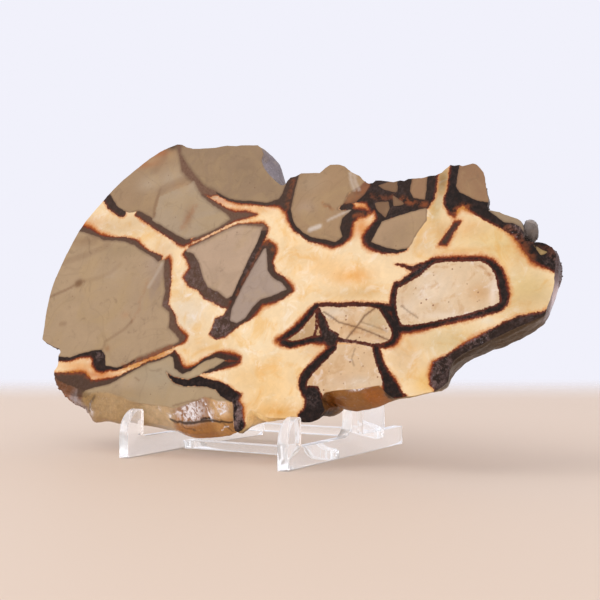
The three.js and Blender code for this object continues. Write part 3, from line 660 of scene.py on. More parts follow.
def face_pattern(at):
    """Everything the stone's material reads, at points (across, up)."""
    islands = [outline_distance(at, points) for _, points in MUDSTONE.values()]
    creams = [outline_distance(at, points) for _, points in CREAM.values()]
    seams = [outline_distance(at, points) for _, points in SEAMS.values()]
    hooks = [outline_distance(at, points) for _, points in HOOKS.values()]
    strokes = [stroke_distance(at, points) for points in STROKES.values()]
    over = np.minimum.reduce(hooks + strokes)
    mud = np.maximum(np.minimum.reduce(islands), -over)
    dark = np.minimum(over, np.minimum.reduce(seams))
    cream = np.minimum.reduce(creams)
    stone_names = [finish for finish, _ in MUDSTONE.values()] + [finish for finish, _ in CREAM.values()]
    stone = nearest_of(islands + creams, [colour(STONES[n]) for n in stone_names])
    rust = nearest_of(
        seams + hooks + strokes,
        [r for r, _ in SEAMS.values()] + [r for r, _ in HOOKS.values()] + [0.0] * len(STROKES),
    )
    lines = {kind: np.zeros(len(at)) for kind in ("brown", "pale", "rust")}
    for kind, half, depth, points in LINES.values():
        near = np.clip(1.6 - line_distance(at, points) / half, 0, 1) * depth
        lines[kind] = np.maximum(lines[kind], near)
    plain = np.tile(colour(SPAR), (len(at), 1))
    glow, painted_sparkle = (nearby(at, spots) for spots in (GLOWS, PAINTED_SPARKLE_SPOTS))
    return {
        "edges": np.stack([mud, dark, cream], 1),
        "hairlines": np.stack([lines["brown"], lines["pale"], lines["rust"]], 1),
        "seams": np.stack([rust, glow, painted_sparkle], 1),
        "stone_tint": tinted(stone, at, STONE_TINTS),
        "spar_tint": tinted(plain, at, SPAR_TINTS),
    }


def wall_marks(at):
    """Cracks, and glints that are highlights painted into the colour, of the lower broken walls, at points (across,
    deep, up).
    """
    on_wall = at[:, :2]
    low = np.clip((BROKEN_BELOW - at[:, 2]) / 4, 0, 1)
    crack, painted_glint = np.zeros(len(at)), np.zeros(len(at))
    for half, depth, points in CRACKS:
        crack = np.maximum(crack, np.clip(1.5 - line_distance(on_wall, points) / half, 0, 1) * depth)
    for across, deep, wide, tall, strength in PAINTED_GLINTS:
        near = np.exp(-(((at[:, 0] - across) / wide) ** 2) - ((at[:, 1] - deep) / tall) ** 2)
        painted_glint = np.maximum(painted_glint, strength * near)
    for half, strength, points in PAINTED_RIDGE_GLINTS:
        painted_glint = np.maximum(painted_glint, np.clip(1.5 - line_distance(on_wall, points) / half, 0, 1) * strength * 1.6)
    return crack * low, painted_glint * low


def rind_pattern(at):
    """Colour, gloss and coarseness of the rind, at points (across, deep, up)."""
    total = np.zeros(len(at))
    tint, rest = np.zeros((len(at), 3)), np.zeros((len(at), 2))
    for code, gloss, coarse, across, deep, up, reach in RIND:
        far = ((at - np.array([across, deep, up])) ** 2).sum(1) / reach**2
        weight = 1 / (0.05 + far) ** 3
        total += weight
        tint += weight[:, None] * np.array(colour(code))
        rest += weight[:, None] * np.array([gloss, coarse])
    return tint / total[:, None], rest / total[:, None]


# ---- the slab's mesh ---------------------------------------------------------------------------------------
def read_vectors(items, name, kind=np.float64):
    """A property of many items as rows of three numbers."""
    values = np.empty(len(items) * 3, kind)
    items.foreach_get(name, values)
    return values.reshape(-1, 3)


def slab_frame():
    """The easel's middle and the place where the face's plane meets the ground, in mm."""
    boxes = [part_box(name) for name in SIDE_FRAMES]
    middle = (min(lo.x for lo, _ in boxes) + max(hi.x for _, hi in boxes)) / 2 / MM
    points = read_vectors(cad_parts["slab"].data.vertices, "co") / MM
    depth = points[:, 1] * math.cos(LEAN) - points[:, 2] * math.sin(LEAN)
    return middle, depth.min() / math.cos(LEAN)


def to_slab(points, middle, ground):
    """Part coordinates to (across, deep, up)."""
    y, z = points[:, 1] - ground, points[:, 2]
    c, s = math.cos(LEAN), math.sin(LEAN)
    return np.stack([points[:, 0] - middle, y * c - z * s, y * s + z * c], 1)


def from_slab(points, middle, ground):
    """(across, deep, up) to part coordinates."""
    d, v = points[:, 1], points[:, 2]
    c, s = math.cos(LEAN), math.sin(LEAN)
    return np.stack([points[:, 0] + middle, ground + d * c + v * s, v * c - d * s], 1)


def longest_edge(at, spacing):
    """The longest edge that is wanted at a place on the wall: shorter where cracks and painted glints are narrow."""
    if at.y < BROKEN_DEPTH and at.z < BROKEN_BELOW:
        for left, right, fine in FINE_WALLS:
            if left < at.x < right:
                return min(fine, spacing)
    return spacing


def wall_mesh(spacing, middle, ground):
    """The slab's broken wall without its face and back, with no edge longer than the spacing."""
    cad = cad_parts["slab"].data
    bm = bmesh.new()
    bm.from_mesh(cad)
    bmesh.ops.remove_doubles(bm, verts=bm.verts, dist=SAME)
    points = np.array([v.co for v in bm.verts]) / MM
    for vert, at in zip(bm.verts, to_slab(points, middle, ground)):
        vert.co = at
    flat = [
        f for f in bm.faces
        if all(v.co.y < FLAT for v in f.verts) or all(v.co.y > THICKNESS - FLAT for v in f.verts)
    ]
    bmesh.ops.delete(bm, geom=flat, context="FACES_ONLY")
    most_cuts = 8
    for _ in range(most_cuts):
        long_edges = [
            e for e in bm.edges if e.calc_length() > longest_edge((e.verts[0].co + e.verts[1].co) / 2, spacing)
        ]
        if not long_edges:
            break
        bmesh.ops.subdivide_edges(bm, edges=long_edges, cuts=1)
        bmesh.ops.triangulate(bm, faces=[f for f in bm.faces if len(f.verts) > 3])
    return bm


def soften(bm, rounds):
    """Rounds the wall's facets a little and leaves both rims where they are."""
    inner = [v for v in bm.verts if not v.is_boundary]
    for _ in range(rounds):
        bmesh.ops.smooth_vert(bm, verts=inner, factor=0.5, use_axis_x=True, use_axis_y=True, use_axis_z=True)


def broken(at, coarse, gloss):
    """How far the rind stands out at a point: lumps, pits and grains, or flat chips where it is glossy."""
    lumps = noise.noise(at * 0.28) * 0.42 + noise.noise(at * 0.75) * 0.24
    grains = noise.noise(at * 2.1) * 0.13
    chips = noise.cell_vector(at * 0.34)
    facet = (chips - Vector((0.5, 0.5, 0.5))).dot(at * 0.34 - Vector(map(math.floor, at * 0.34))) * 0.5
    return coarse * (lumps + grains) + max(0, gloss - 0.5) * facet


def swelling(at):
    """How far the named swells and dents move the rind outwards at a point."""
    return sum(out * math.exp(-(((at - Vector(place)).length / reach) ** 2)) for out, place, reach in SWELLS)


def roughen(bm, strength):
    """Moves the wall's vertices along their normals. The rims only wander in their own planes."""
    bm.normal_update()
    points = np.array([v.co for v in bm.verts])
    _, rest = rind_pattern(points)
    moves = []
    for vert, (gloss, coarse) in zip(bm.verts, rest):
        at = vert.co.copy()
        out = broken(at, coarse, gloss) * strength + swelling(at)
        near_rim = min(at.y, THICKNESS - at.y)
        push = vert.normal * out
        if vert.is_boundary:
            push = Vector((push.x, 0, push.z)) * RIM_SHARE
        elif near_rim < 1:
            push *= RIM_SHARE + (1 - RIM_SHARE) * max(near_rim, 0)
        moves.append(push)
    for vert, push in zip(bm.verts, moves):
        vert.co += push
        if not vert.is_boundary:
            vert.co.y = min(max(vert.co.y, RIM_CLEAR), THICKNESS - RIM_CLEAR)


def rim_loop(bm, deep):
    """The rim's vertices in order round the face or the back."""
    edges = [e for e in bm.edges if e.is_boundary and all(abs(v.co.y - deep) < FLAT for v in e.verts)]
    links = {}
    for e in edges:
        for a, b in (e.verts, reversed(e.verts)):
            links.setdefault(a.index, []).append(b)
    first = edges[0].verts[0]
    loop, before = [first], None
    while True:
        options = [v for v in links[loop[-1].index] if v is not before]
        before = loop[-1]
        if options[0] is first and len(loop) > 2:
            return loop
        loop.append(options[0])


def inside_points(rim, spacing, clearance):
    """A staggered grid of points inside the rim, none nearer to it than the clearance."""
    low, high = rim.min(0), rim.max(0)
    rows = np.arange(low[1], high[1], spacing * 0.866)  # the height of a triangle with equal sides
    grid = []
    for i, y in enumerate(rows):
        xs = np.arange(low[0] + (i % 2) * spacing / 2, high[0], spacing)
        grid.append(np.stack([xs, np.full(len(xs), y)], 1))
    grid = np.concatenate(grid)
    batches = [grid[k : k + BATCH] for k in range(0, len(grid), BATCH)]
    return np.concatenate([batch[outline_distance(batch, rim) < -clearance] for batch in batches])


def line_points(spacing):
    """Points along each hairline, so that narrow lines keep their width."""
    runs = []
    for _, _, _, points in LINES.values():
        run = []
        for (x0, y0), (x1, y1) in zip(points, points[1:]):
            steps = max(1, math.ceil(math.hypot(x1 - x0, y1 - y0) / spacing))
            run += [(x0 + (x1 - x0) * k / steps, y0 + (y1 - y0) * k / steps) for k in range(steps)]
        runs.append(run + [points[-1]])
    return runs


def filled(rim, spacing, lines=()):
    """Fills a rim: the points that it adds, and triangles that number the rim's points first, then those."""
    inner = inside_points(rim, spacing, spacing * 0.45)
    edges = []
    if lines:
        runs = [np.array(run) for run in lines]
        runs = [run[outline_distance(run, rim) < -spacing * 0.5] for run in runs]
        runs = [run for run in runs if len(run) > 1]
        on_lines = np.concatenate(runs)
        far = np.ones(len(inner), bool)
        for k in range(0, len(inner), BATCH // 2):
            gap = np.linalg.norm(inner[k : k + BATCH // 2, None] - on_lines[None], axis=2).min(1)
            far[k : k + BATCH // 2] = gap > spacing * 0.4
        inner = inner[far]
        count = len(rim) + len(inner)
        for run in runs:
            edges += [(count + k, count + k + 1) for k in range(len(run) - 1)]
            count += len(run)
        inner = np.concatenate([inner, on_lines])
    points = [Vector(p) for p in np.concatenate([rim, inner])]
    ring = list(range(len(rim)))
    inside_only, merged = 1, 1e-4
    made, _, faces, origins, _, _ = delaunay_2d_cdt(points, edges, [ring], inside_only, merged)
    place = [o[0] if o else -1 for o in origins]
    extra = [i for i, o in enumerate(place) if o < 0]
    for k, i in enumerate(extra):
        place[i] = len(points) + k
    inner = np.concatenate([inner, np.array([made[i] for i in extra]).reshape(-1, 2)])
    return inner, [tuple(place[i] for i in face) for face in faces]


def slab_mesh(settings):
    """The whole slab as one closed mesh in part metres, with its pattern as attributes."""
    middle, ground = slab_frame()
    bm = wall_mesh(settings.wall_spacing / MM, middle, ground)
    soften(bm, rounds=2)
    roughen(bm, settings.roughness)
    bm.verts.index_update()
    points = [tuple(v.co) for v in bm.verts]
    faces = [tuple(v.index for v in f.verts) for f in bm.faces]
    for deep, spacing, lines in (
        (0.0, settings.face_spacing / MM, line_points(settings.face_spacing / MM)),
        (THICKNESS, settings.back_spacing / MM, ()),
    ):
        loop = [v.index for v in rim_loop(bm, deep)]
        rim = np.array([(points[i][0], points[i][2]) for i in loop])
        inner, fill = filled(rim, spacing, lines)
        number = loop + list(range(len(points), len(points) + len(inner)))
        points += [(x, deep, z) for x, z in inner]
        for a, b, c in fill:
            (ax, az), (bx, bz), (cx, cz) = ((points[number[k]][0], points[number[k]][2]) for k in (a, b, c))
            # The face looks towards -deep, so its triangles run anticlockwise seen from there.
            turns_left = (bx - ax) * (cz - az) - (cx - ax) * (bz - az) > 0
            keep = turns_left if deep == 0 else not turns_left
            faces.append(tuple(number[k] for k in ((a, b, c) if keep else (a, c, b))))
    bm.free()
    local = np.array(points)
    placed = from_slab(local, middle, ground)
    low, high = (np.array(corner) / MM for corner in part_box("slab"))
    placed = np.clip(placed, low, high)
    mesh = bpy.data.meshes.new("septarian_slab")
    mesh.from_pydata(placed * MM, [], faces)
    mesh.update()
    write_pattern(mesh, local)
    return mesh


def write_pattern(mesh, local):
    """Stores the pattern on the mesh. Seams slant a little through the stone, so the back differs."""
    deep = local[:, 1]
    slanted = np.stack([local[:, 0] + SLANT[0] * deep, local[:, 2] + SLANT[1] * deep], 1)
    parts = {}
    for k in range(0, len(slanted), BATCH):
        for name, values in face_pattern(slanted[k : k + BATCH]).items():
            parts.setdefault(name, []).append(values)
    for name, values in parts.items():
        store(mesh, name, np.concatenate(values))
    tint, rest = rind_pattern(local)
    store(mesh, "rind_tint", tint)
    crack, painted_glint = wall_marks(local)
    store(mesh, "wall_marks", np.stack([crack, painted_glint, rest[:, 1]], 1))
    rind_starts, back_starts = 0.25, 0.3
    rind = np.clip(deep / rind_starts, 0, 1)
    back = np.clip((deep - (THICKNESS - back_starts)) / back_starts, 0, 1)
    store(mesh, "surface", np.stack([rind, back, rest[:, 0]], 1))


def store(mesh, name, values):
    """Keeps three numbers for each vertex under a name."""
    layer = mesh.attributes.new(name, "FLOAT_VECTOR", "POINT")
    layer.data.foreach_set("vector", np.ascontiguousarray(values, np.float32).ravel())


# ---- grains on the rind ------------------------------------------------------------------------------------
def rough_wall(slab, coarsest, rim):
    """The slab's roughest rind faces as a mesh, clear of both rims and of the easel."""
    middle, ground = slab_frame()
    mesh = slab.data
    points = read_vectors(mesh.vertices, "co", np.float32)
    coarse = read_vectors(mesh.attributes["wall_marks"].data, "vector", np.float32)[:, 2]
    at = to_slab(points.astype(float) / MM, middle, ground)
    high = (at[:, 2] > BROKEN_BELOW) | (at[:, 0] < LEFT_END)
    wanted = (coarse > coarsest) & high & (at[:, 1] > rim) & (at[:, 1] < THICKNESS - rim)
    faces = [tuple(p.vertices) for p in mesh.polygons if all(wanted[i] for i in p.vertices)]
    used = sorted({i for face in faces for i in face})
    number = {i: k for k, i in enumerate(used)}
    made = bpy.data.meshes.new("rough_wall")
    made.from_pydata(points[used], [], [tuple(number[i] for i in face) for face in faces])
    made.update()
    return made


def grain_tree(material):
    """A node tree that sows small angular grains over a mesh, and its inputs' identifiers by name."""
    tree = bpy.data.node_groups.new("rind_grains", "GeometryNodeTree")
    tree.interface.new_socket("Geometry", in_out="INPUT", socket_type="NodeSocketGeometry")
    names = {}
    for name, kind in (
        ("Density", "NodeSocketFloat"),
        ("Smallest", "NodeSocketFloat"),
        ("Largest", "NodeSocketFloat"),
        ("Seed", "NodeSocketInt"),
    ):
        names[name] = tree.interface.new_socket(name, in_out="INPUT", socket_type=kind).identifier
    tree.interface.new_socket("Geometry", in_out="OUTPUT", socket_type="NodeSocketGeometry")

    def add(kind, values=(), **settings):
        made = tree.nodes.new(kind)
        for key, value in settings.items():
            setattr(made, key, value)
        for key, value in dict(values).items():
            if isinstance(value, bpy.types.NodeSocket):
                tree.links.new(value, made.inputs[key])
            else:
                made.inputs[key].default_value = value
        return made

    given = add("NodeGroupInput").outputs
    spots = add(
        "GeometryNodeDistributePointsOnFaces",
        {"Mesh": given["Geometry"], "Density": given["Density"], "Seed": given["Seed"]},
        distribute_method="RANDOM",
    )
    low = add("ShaderNodeCombineXYZ", {"X": given["Smallest"], "Y": given["Smallest"], "Z": given["Smallest"]})
    high = add("ShaderNodeCombineXYZ", {"X": given["Largest"], "Y": given["Largest"], "Z": given["Largest"]})
    size = add(
        "FunctionNodeRandomValue", {0: low.outputs[0], 1: high.outputs[0], "Seed": given["Seed"]},
        data_type="FLOAT_VECTOR",
    )
    turn = add("FunctionNodeRandomValue", {1: (math.tau, math.tau, math.tau), "Seed": 7}, data_type="FLOAT_VECTOR")
    grain = add("GeometryNodeMeshIcoSphere", {"Radius": 1.0, "Subdivisions": 1})
    sown = add(
        "GeometryNodeInstanceOnPoints",
        {
            "Points": spots.outputs["Points"], "Instance": grain.outputs["Mesh"], "Rotation": turn.outputs[0],
            "Scale": size.outputs[0],
        },
    )
    real = add("GeometryNodeRealizeInstances", {"Geometry": sown.outputs[0]})
    done = add("GeometryNodeSetMaterial", {"Geometry": real.outputs[0], "Material": material})
    add("NodeGroupOutput", {"Geometry": done.outputs[0]})
    return tree, names


def grain_mesh(slab, settings, material):
    """The grains as one plain mesh in part metres, inside the slab's box, with the stone's pattern."""
    source = bpy.data.objects.new("rough_wall", rough_wall(slab, coarsest=0.75, rim=0.8))
    bpy.context.collection.objects.link(source)
    tree, names = grain_tree(material)
    sower = source.modifiers.new("grains", "NODES")
    sower.node_group = tree
    for name, value in (
        ("Density", settings.density),
        ("Smallest", settings.smallest),
        ("Largest", settings.largest),
        ("Seed", settings.seed),
    ):
        sower[names[name]] = value
    graph = bpy.context.evaluated_depsgraph_get()
    mesh = bpy.data.meshes.new_from_object(source.evaluated_get(graph))
    source.modifiers.clear()
    bpy.data.objects.remove(source)

    middle, ground = slab_frame()
    low, high = (np.array(corner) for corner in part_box("slab"))
    points = np.clip(read_vectors(mesh.vertices, "co"), low, high)
    mesh.vertices.foreach_set("co", points.ravel())
    mesh.update()
    write_pattern(mesh, to_slab(points / MM, middle, ground))
    return mesh


# ---- shader expressions ------------------------------------------------------------------------------------
class Sock:
    """A node's output socket. Arithmetic on it adds Math nodes to its tree."""

    def __init__(self, tree, socket):
        self.tree, self.socket = tree, socket

    def _math(self, operation, *values):
        return self.tree.node("ShaderNodeMath", {"operation": operation}, dict(enumerate(values)))

    def __add__(self, other):
        return self._math("ADD", self, other)

    def __radd__(self, other):
        return self._math("ADD", other, self)

    def __sub__(self, other):
        return self._math("SUBTRACT", self, other)

    def __rsub__(self, other):
        return self._math("SUBTRACT", other, self)

    def __mul__(self, other):
        return self._math("MULTIPLY", self, other)

    def __rmul__(self, other):
        return self._math("MULTIPLY", other, self)

    def __neg__(self):
        return self._math("MULTIPLY", self, -1.0)

    def least(self, other):
        """Whichever of the two is less."""
        return self._math("MINIMUM", self, other)

    def most(self, other):
        """Whichever of the two is more."""
        return self._math("MAXIMUM", self, other)

    def abs(self):
        return self._math("ABSOLUTE", self)


class Finish:
    """A material's node tree."""

    def __init__(self, name):
        self.material = bpy.data.materials.new(name)
        self.material.use_nodes = True
        self.nodes = self.material.node_tree.nodes
        self.links = self.material.node_tree.links
        self.nodes.clear()
        self.place = self.node("ShaderNodeTexCoord", {}, {}, "Object")

    def node(self, kind, settings, values, output=0):
        """Adds a node: its settings come first, then its sockets get values or links."""
        made = self.nodes.new(kind)
        for key, value in settings.items():
            setattr(made, key, value)
        for key, value in values.items():
            socket = made.inputs[key]
            if isinstance(value, Sock):
                self.links.new(value.socket, socket)
            elif isinstance(value, tuple) and len(value) == 3 and socket.type == "RGBA":
                socket.default_value = (*value, 1)
            else:
                socket.default_value = value
        return Sock(self, made.outputs[output])

    def attribute(self, name):
        """Three numbers that were stored on the mesh."""
        return self.node("ShaderNodeAttribute", {"attribute_name": name}, {}, "Vector")

    def parts(self, vector):
        """The three numbers of a vector or a colour, each by itself."""
        split = self.nodes.new("ShaderNodeSeparateXYZ")
        self.links.new(vector.socket, split.inputs[0])
        return [Sock(self, split.outputs[k]) for k in range(3)]

    def noise(self, size, detail=3.0, rough=0.55, warp=0.0, stretch=None):
        """Noise between 0 and 1 whose lumps are about that many mm across."""
        where = self.place
        if stretch:
            where = self.node("ShaderNodeMapping", {}, {"Vector": where, "Scale": stretch})
        return self.node(
            "ShaderNodeTexNoise", {},
            {"Vector": where, "Scale": 1 / (size * MM), "Detail": detail, "Roughness": rough, "Distortion": warp},
        )

    def cells(self, size, output, at=None):
        """A cell pattern's colour or distance, with cells about that many mm across."""
        return self.node(
            "ShaderNodeTexVoronoi", {}, {"Vector": at or self.place, "Scale": 1 / (size * MM)}, output,
        )

    def step(self, value, low, high):
        """0 below low, 1 above high and smooth between them."""
        return self.node(
            "ShaderNodeMapRange", {"interpolation_type": "SMOOTHSTEP"},
            {"Value": value, "From Min": low, "From Max": high},
        )

    def mix(self, factor, first, second, blend="MIX"):
        """A colour between two colours."""
        values = {0: factor, 6: first, 7: second}
        return self.node("ShaderNodeMix", {"data_type": "RGBA", "blend_type": blend}, values, 2)

    def blotched(self, base, tint, amount, rise, *lumps, **more):
        """A colour with patches of another where noise is high. It sets in between the two values of rise."""
        return self.mix(self.step(self.noise(*lumps, **more), *rise) * amount, base, tint)

    def dots(self, size, edge, rise, *clusters):
        """Soft-edged dots that many mm apart, only where noise of the clusters' size is high."""
        spots = 1 - self.step(self.cells(size, "Distance"), *edge)
        return spots * self.step(self.noise(*clusters), *rise)

    def shade(self, tint, amount):
        """A colour made lighter or darker by a number that is 1 where it stays."""
        return self.node("ShaderNodeVectorMath", {"operation": "SCALE"}, {0: tint, 3: amount})

    def bump(self, height, strength, distance):
        """A normal bent by a height, with the distance in mm."""
        return self.node("ShaderNodeBump", {}, {"Height": height, "Strength": strength, "Distance": distance * MM})

    def principled(self, **values):
        """A Principled shader, with its sockets named by underscores for spaces."""
        return self.node("ShaderNodeBsdfPrincipled", {}, {k.replace("_", " "): v for k, v in values.items()})

    def finish(self, shader):
        """Puts the shader on the surface and gives the material."""
        out = self.nodes.new("ShaderNodeOutputMaterial")
        self.links.new(shader.socket, out.inputs["Surface"])
        return self.material


# ---- materials ---------------------------------------------------------------------------------------------
def septarian_stone(settings):
    """Polished face, sawn back and broken rind of the nodule, from the pattern stored on the mesh."""
    f = Finish("septarian_stone")
    mud, dark, cream = f.parts(f.attribute("edges"))
    brown, pale, rusty = f.parts(f.attribute("hairlines"))
    rust, glow, painted_sparkle = f.parts(f.attribute("seams"))
    rind, back, gloss = f.parts(f.attribute("surface"))
    crack, painted_glint, _ = f.parts(f.attribute("wall_marks"))
    stone, spar, crust = (f.attribute(n) for n in ("stone_tint", "spar_tint", "rind_tint"))

    ochre = rusty * f.step(f.noise(1.3, 4, 0.65), 0.36, 0.6)
    fine_needles = f.noise(0.4, 2, 0.6)
    teeth = (f.noise(1.0, 2, 0.6) - 0.5) * 1.1 + (fine_needles - 0.5) * 1.1
    fringe = dark + teeth * settings.fringe
    in_dark = 1 - f.step(fringe, -0.14, 0.05)
    soft = 0.08 + rust * 0.28
    in_mud = 1 - f.step(mud + (f.noise(1.3, 3) - 0.5) * 0.6, -soft, soft)
    in_cream = 1 - f.step(cream, -0.2, 0.2)

    # Calcite: cloudy, with crystal grains that catch more or less light, and orange near the dark seams.
    wobble = f.node("ShaderNodeTexNoise", {}, {"Vector": f.place, "Scale": 600.0}, 1)
    warped = f.node("ShaderNodeVectorMath", {"operation": "ADD"}, {0: f.place, 1: f.shade(wobble, 0.0016)})
    grain_tone = f.parts(f.cells(2.6, "Color", at=warped))[0]
    small_tone = f.parts(f.cells(0.8, "Color", at=warped))[0]
    cloud = f.noise(5, 5, 0.62, warp=0.6)
    calcite = f.shade(spar, 0.8 + cloud * 0.3 + grain_tone * 0.04 + small_tone * 0.04)
    golden, milky = (f.mix(1.0, spar, times, "MULTIPLY") for times in ((0.93, 0.67, 0.24), (1.09, 1.27, 1.74)))
    calcite = f.blotched(calcite, golden, 0.5, (0.48, 0.68), 8, 5, 0.62, warp=1.0)
    calcite = f.blotched(calcite, milky, 0.6, (0.52, 0.7), 4.2, 5, 0.68, warp=0.8)
    freckles = f.dots(1.9, (0.05, 0.12), (0.55, 0.62), 5, 2)
    calcite = f.mix(freckles * 0.35, calcite, colour("#c47c36"))
    stain = f.noise(2.2, 3)
    halo = (1 - f.step(fringe + (stain - 0.5) * 1.2, 0.0, 0.7 + glow * 1.1)) * (0.55 + glow * 0.4)
    calcite = f.mix(halo, calcite, colour("#d07f36"))
    rim = (1 - f.step(fringe, 0.0, 0.2 + glow * 0.6)) * f.step(stain + glow * 0.3, 0.38, 0.58)
    calcite = f.mix(rim * 0.95, calcite, colour("#934315"))
    calcite = f.mix(ochre, calcite, colour("#c98a3a"))

    # Aragonite seams: black-brown needles, redder where they meet the calcite, with glints painted in places as a
    # greyish sheen and pale specks.
    needles = f.noise(0.5, 3, 0.7)
    black = f.mix(needles, colour("#060302"), colour("#26160d"))
    brown_seam = f.mix(needles, colour("#64432f"), colour("#917058"))
    seam = f.mix(rust, black, brown_seam)
    seam = f.blotched(seam, colour("#5a3726"), 0.12 + rust * 0.4, (0.5, 0.68), 1.1, 3, 0.65)
    reddened = f.step(fringe + (f.noise(1.3, 2) - 0.5) * 0.6, -0.75, -0.05) * f.step(mud + dark, 0.1, 0.8)
    seam = f.mix(reddened * (0.6 + glow * 0.4), seam, colour("#72290b"))
    # Painted sheen and glints: greyish mottling and pale specks painted into the seam's colour.
    painted_sheen = f.step(f.noise(1.3, 5, 0.72), 0.42, 0.66)
    seam = f.mix(painted_sheen * (0.08 + painted_sparkle * 0.72), seam, colour("#7d6560"))
    painted_sparks = f.step(f.noise(0.7, 4, 0.68), 0.58, 0.74)
    seam = f.mix(painted_sparks * painted_sparkle * 0.42, seam, colour("#cbc3c6"))
    seam = f.mix(ochre, seam, colour("#8d4a22"))

    # Mudstone: fine grey-brown silt with drifts of darker and yellower stain.
    silt = f.noise(0.35, 3, 0.6)
    drift = f.noise(7, 5, 0.62, warp=0.5)
    mudstone = f.shade(stone, 0.78 + silt * 0.14 + drift * 0.3)
    mudstone = f.blotched(mudstone, colour("#b3976a"), 0.35, (0.48, 0.7), 11, 4, 0.6, warp=0.8)
    mudstone = f.blotched(mudstone, colour("#735d47"), 0.35, (0.55, 0.74), 4.5, 5, 0.65, warp=1.2)
    wisps = 1 - f.step((f.noise(14, 2, 0.5, warp=0.6) - 0.5).abs(), 0.0, 0.02)
    mudstone = f.mix(wisps * 0.09, mudstone, colour("#5f4935"))
    flecks = f.dots(2.3, (0.05, 0.11), (0.5, 0.6), 6, 2)
    mudstone = f.mix(flecks * 0.5, mudstone, colour("#6a4630"))
    mudstone = f.mix(ochre, mudstone, colour("#9a6238"))
    mudstone = f.mix(brown * (0.6 + silt * 0.6), mudstone, colour("#6a452b"))
    mudstone = f.mix(pale, mudstone, colour("#d6cbbd"))
    browned = f.step(mud + (stain - 0.5) * 0.5, -0.55 - rust * 0.6, 0.0) * 0.4
    mudstone = f.mix(browned, mudstone, colour("#5f432f"))

    # Cream islands: pinkish beige with tan and whitish blotches, cracks and rusty flecks.
    biscuit = f.shade(stone, 0.83 + f.noise(2.6, 5, 0.68) * 0.34)
    biscuit = f.blotched(biscuit, colour("#c49865"), 0.5, (0.5, 0.68), 3.4, 4, 0.65, warp=0.6)
    biscuit = f.blotched(biscuit, colour("#efe3d4"), 0.45, (0.54, 0.7), 2.8, 4, 0.65, warp=0.8)
    spots = f.dots(1.5, (0.1, 0.2), (0.48, 0.58), 4.5, 2)
    biscuit = f.mix(spots * 0.75, biscuit, colour("#7a4220"))
    biscuit = f.mix(ochre, biscuit, colour("#a8692f"))
    biscuit = f.mix(brown * 1.15, biscuit, colour("#5c3418"))

    face = f.mix(in_cream, calcite, biscuit)
    face = f.mix(in_dark, face, seam)
    face = f.mix(in_mud, face, mudstone)

    # The back is sawn and unpolished; the rind is weathered and broken.
    sawn = f.shade(f.mix(0.3, face, colour("#b3a48f")), 0.8 + f.noise(0.4, 3) * 0.2)
    dirt = f.noise(2.4, 5, 0.7)
    fine = f.noise(0.6, 4, 0.7)
    rough_part = 1 - gloss
    weathered = f.shade(crust, 0.55 + dirt * 0.55 + fine * 0.35)
    weathered = f.blotched(weathered, colour("#c2b0a0"), 0.3 * rough_part, (0.55, 0.7), 4, 4, 0.7)
    weathered = f.blotched(weathered, colour("#4a382c"), 0.45 * rough_part, (0.56, 0.7), 1.6, 4, 0.7)
    weathered = f.blotched(weathered, colour("#cfc3c6"), 0.4 * rough_part, (0.6, 0.7), 0.9, 3, 0.7)
    weathered = f.mix(in_dark * rough_part * 0.6, weathered, colour("#33241b"))
    streaks = f.step(f.noise(1.5, 4, 0.7, stretch=(0.8, 0.35, 0.6)), 0.5, 0.68) * gloss * 0.4
    weathered = f.mix(streaks, weathered, f.shade(crust, 0.5))
    honey = f.step(f.noise(2.6, 4, 0.65), 0.5, 0.68) * gloss * 0.35
    weathered = f.mix(honey, weathered, f.shade(crust, 1.35))
    # Painted highlights: near-white glints painted into the broken walls' colour where the glint map and the facet
    # noise are high.
    facets = f.step(f.noise(1.2, 5, 0.75, warp=1.6, stretch=(1, 0.6, 0.6)), 0.45, 0.51)
    weathered = f.mix((painted_glint * facets * 1.15).least(1.0), weathered, colour("#fdfafc"))
    weathered = f.mix(crack, weathered, colour("#2c180d"))
    tint = f.mix(rind, face, weathered)
    tint = f.mix(back, tint, sawn)

    glossy = gloss * rind * (1 - back)
    polish = 0.22 + (1 - in_mud) * in_dark * 0.15 + f.noise(1.5, 3) * 0.08 - (1 - in_dark) * (1 - in_mud) * 0.06
    rough = polish * (1 - rind) + rind * (0.85 - glossy * 0.75)
    rough = (rough + back * 0.25).least(1.0).most(0.05)

    relief = in_dark * (1 - in_mud) * (needles * 0.6 - 0.5) + silt * 0.1
    chips = f.parts(f.cells(1.5, "Color"))[0] * f.step(gloss, 0.5, 0.8)
    rind_bump = ((fine * 0.6 + dirt * 0.9) * (1 - gloss * 0.85) * 3 + chips * 0.8) * rind * (1 - back)
    saw = f.noise(0.9, 2, 0.5, stretch=(0.12, 1, 1)) * back
    normal = f.bump(relief * (1 - rind) + rind_bump - crack * 2 + saw * 0.8, 0.6, 0.12)
    shader = f.principled(
        Base_Color=tint, Roughness=rough, Normal=normal, IOR=1.33, Specular_IOR_Level=0.22, Coat_Weight=glossy * 0.8,
        Coat_Roughness=0.12,
    )
    return f.finish(shader)


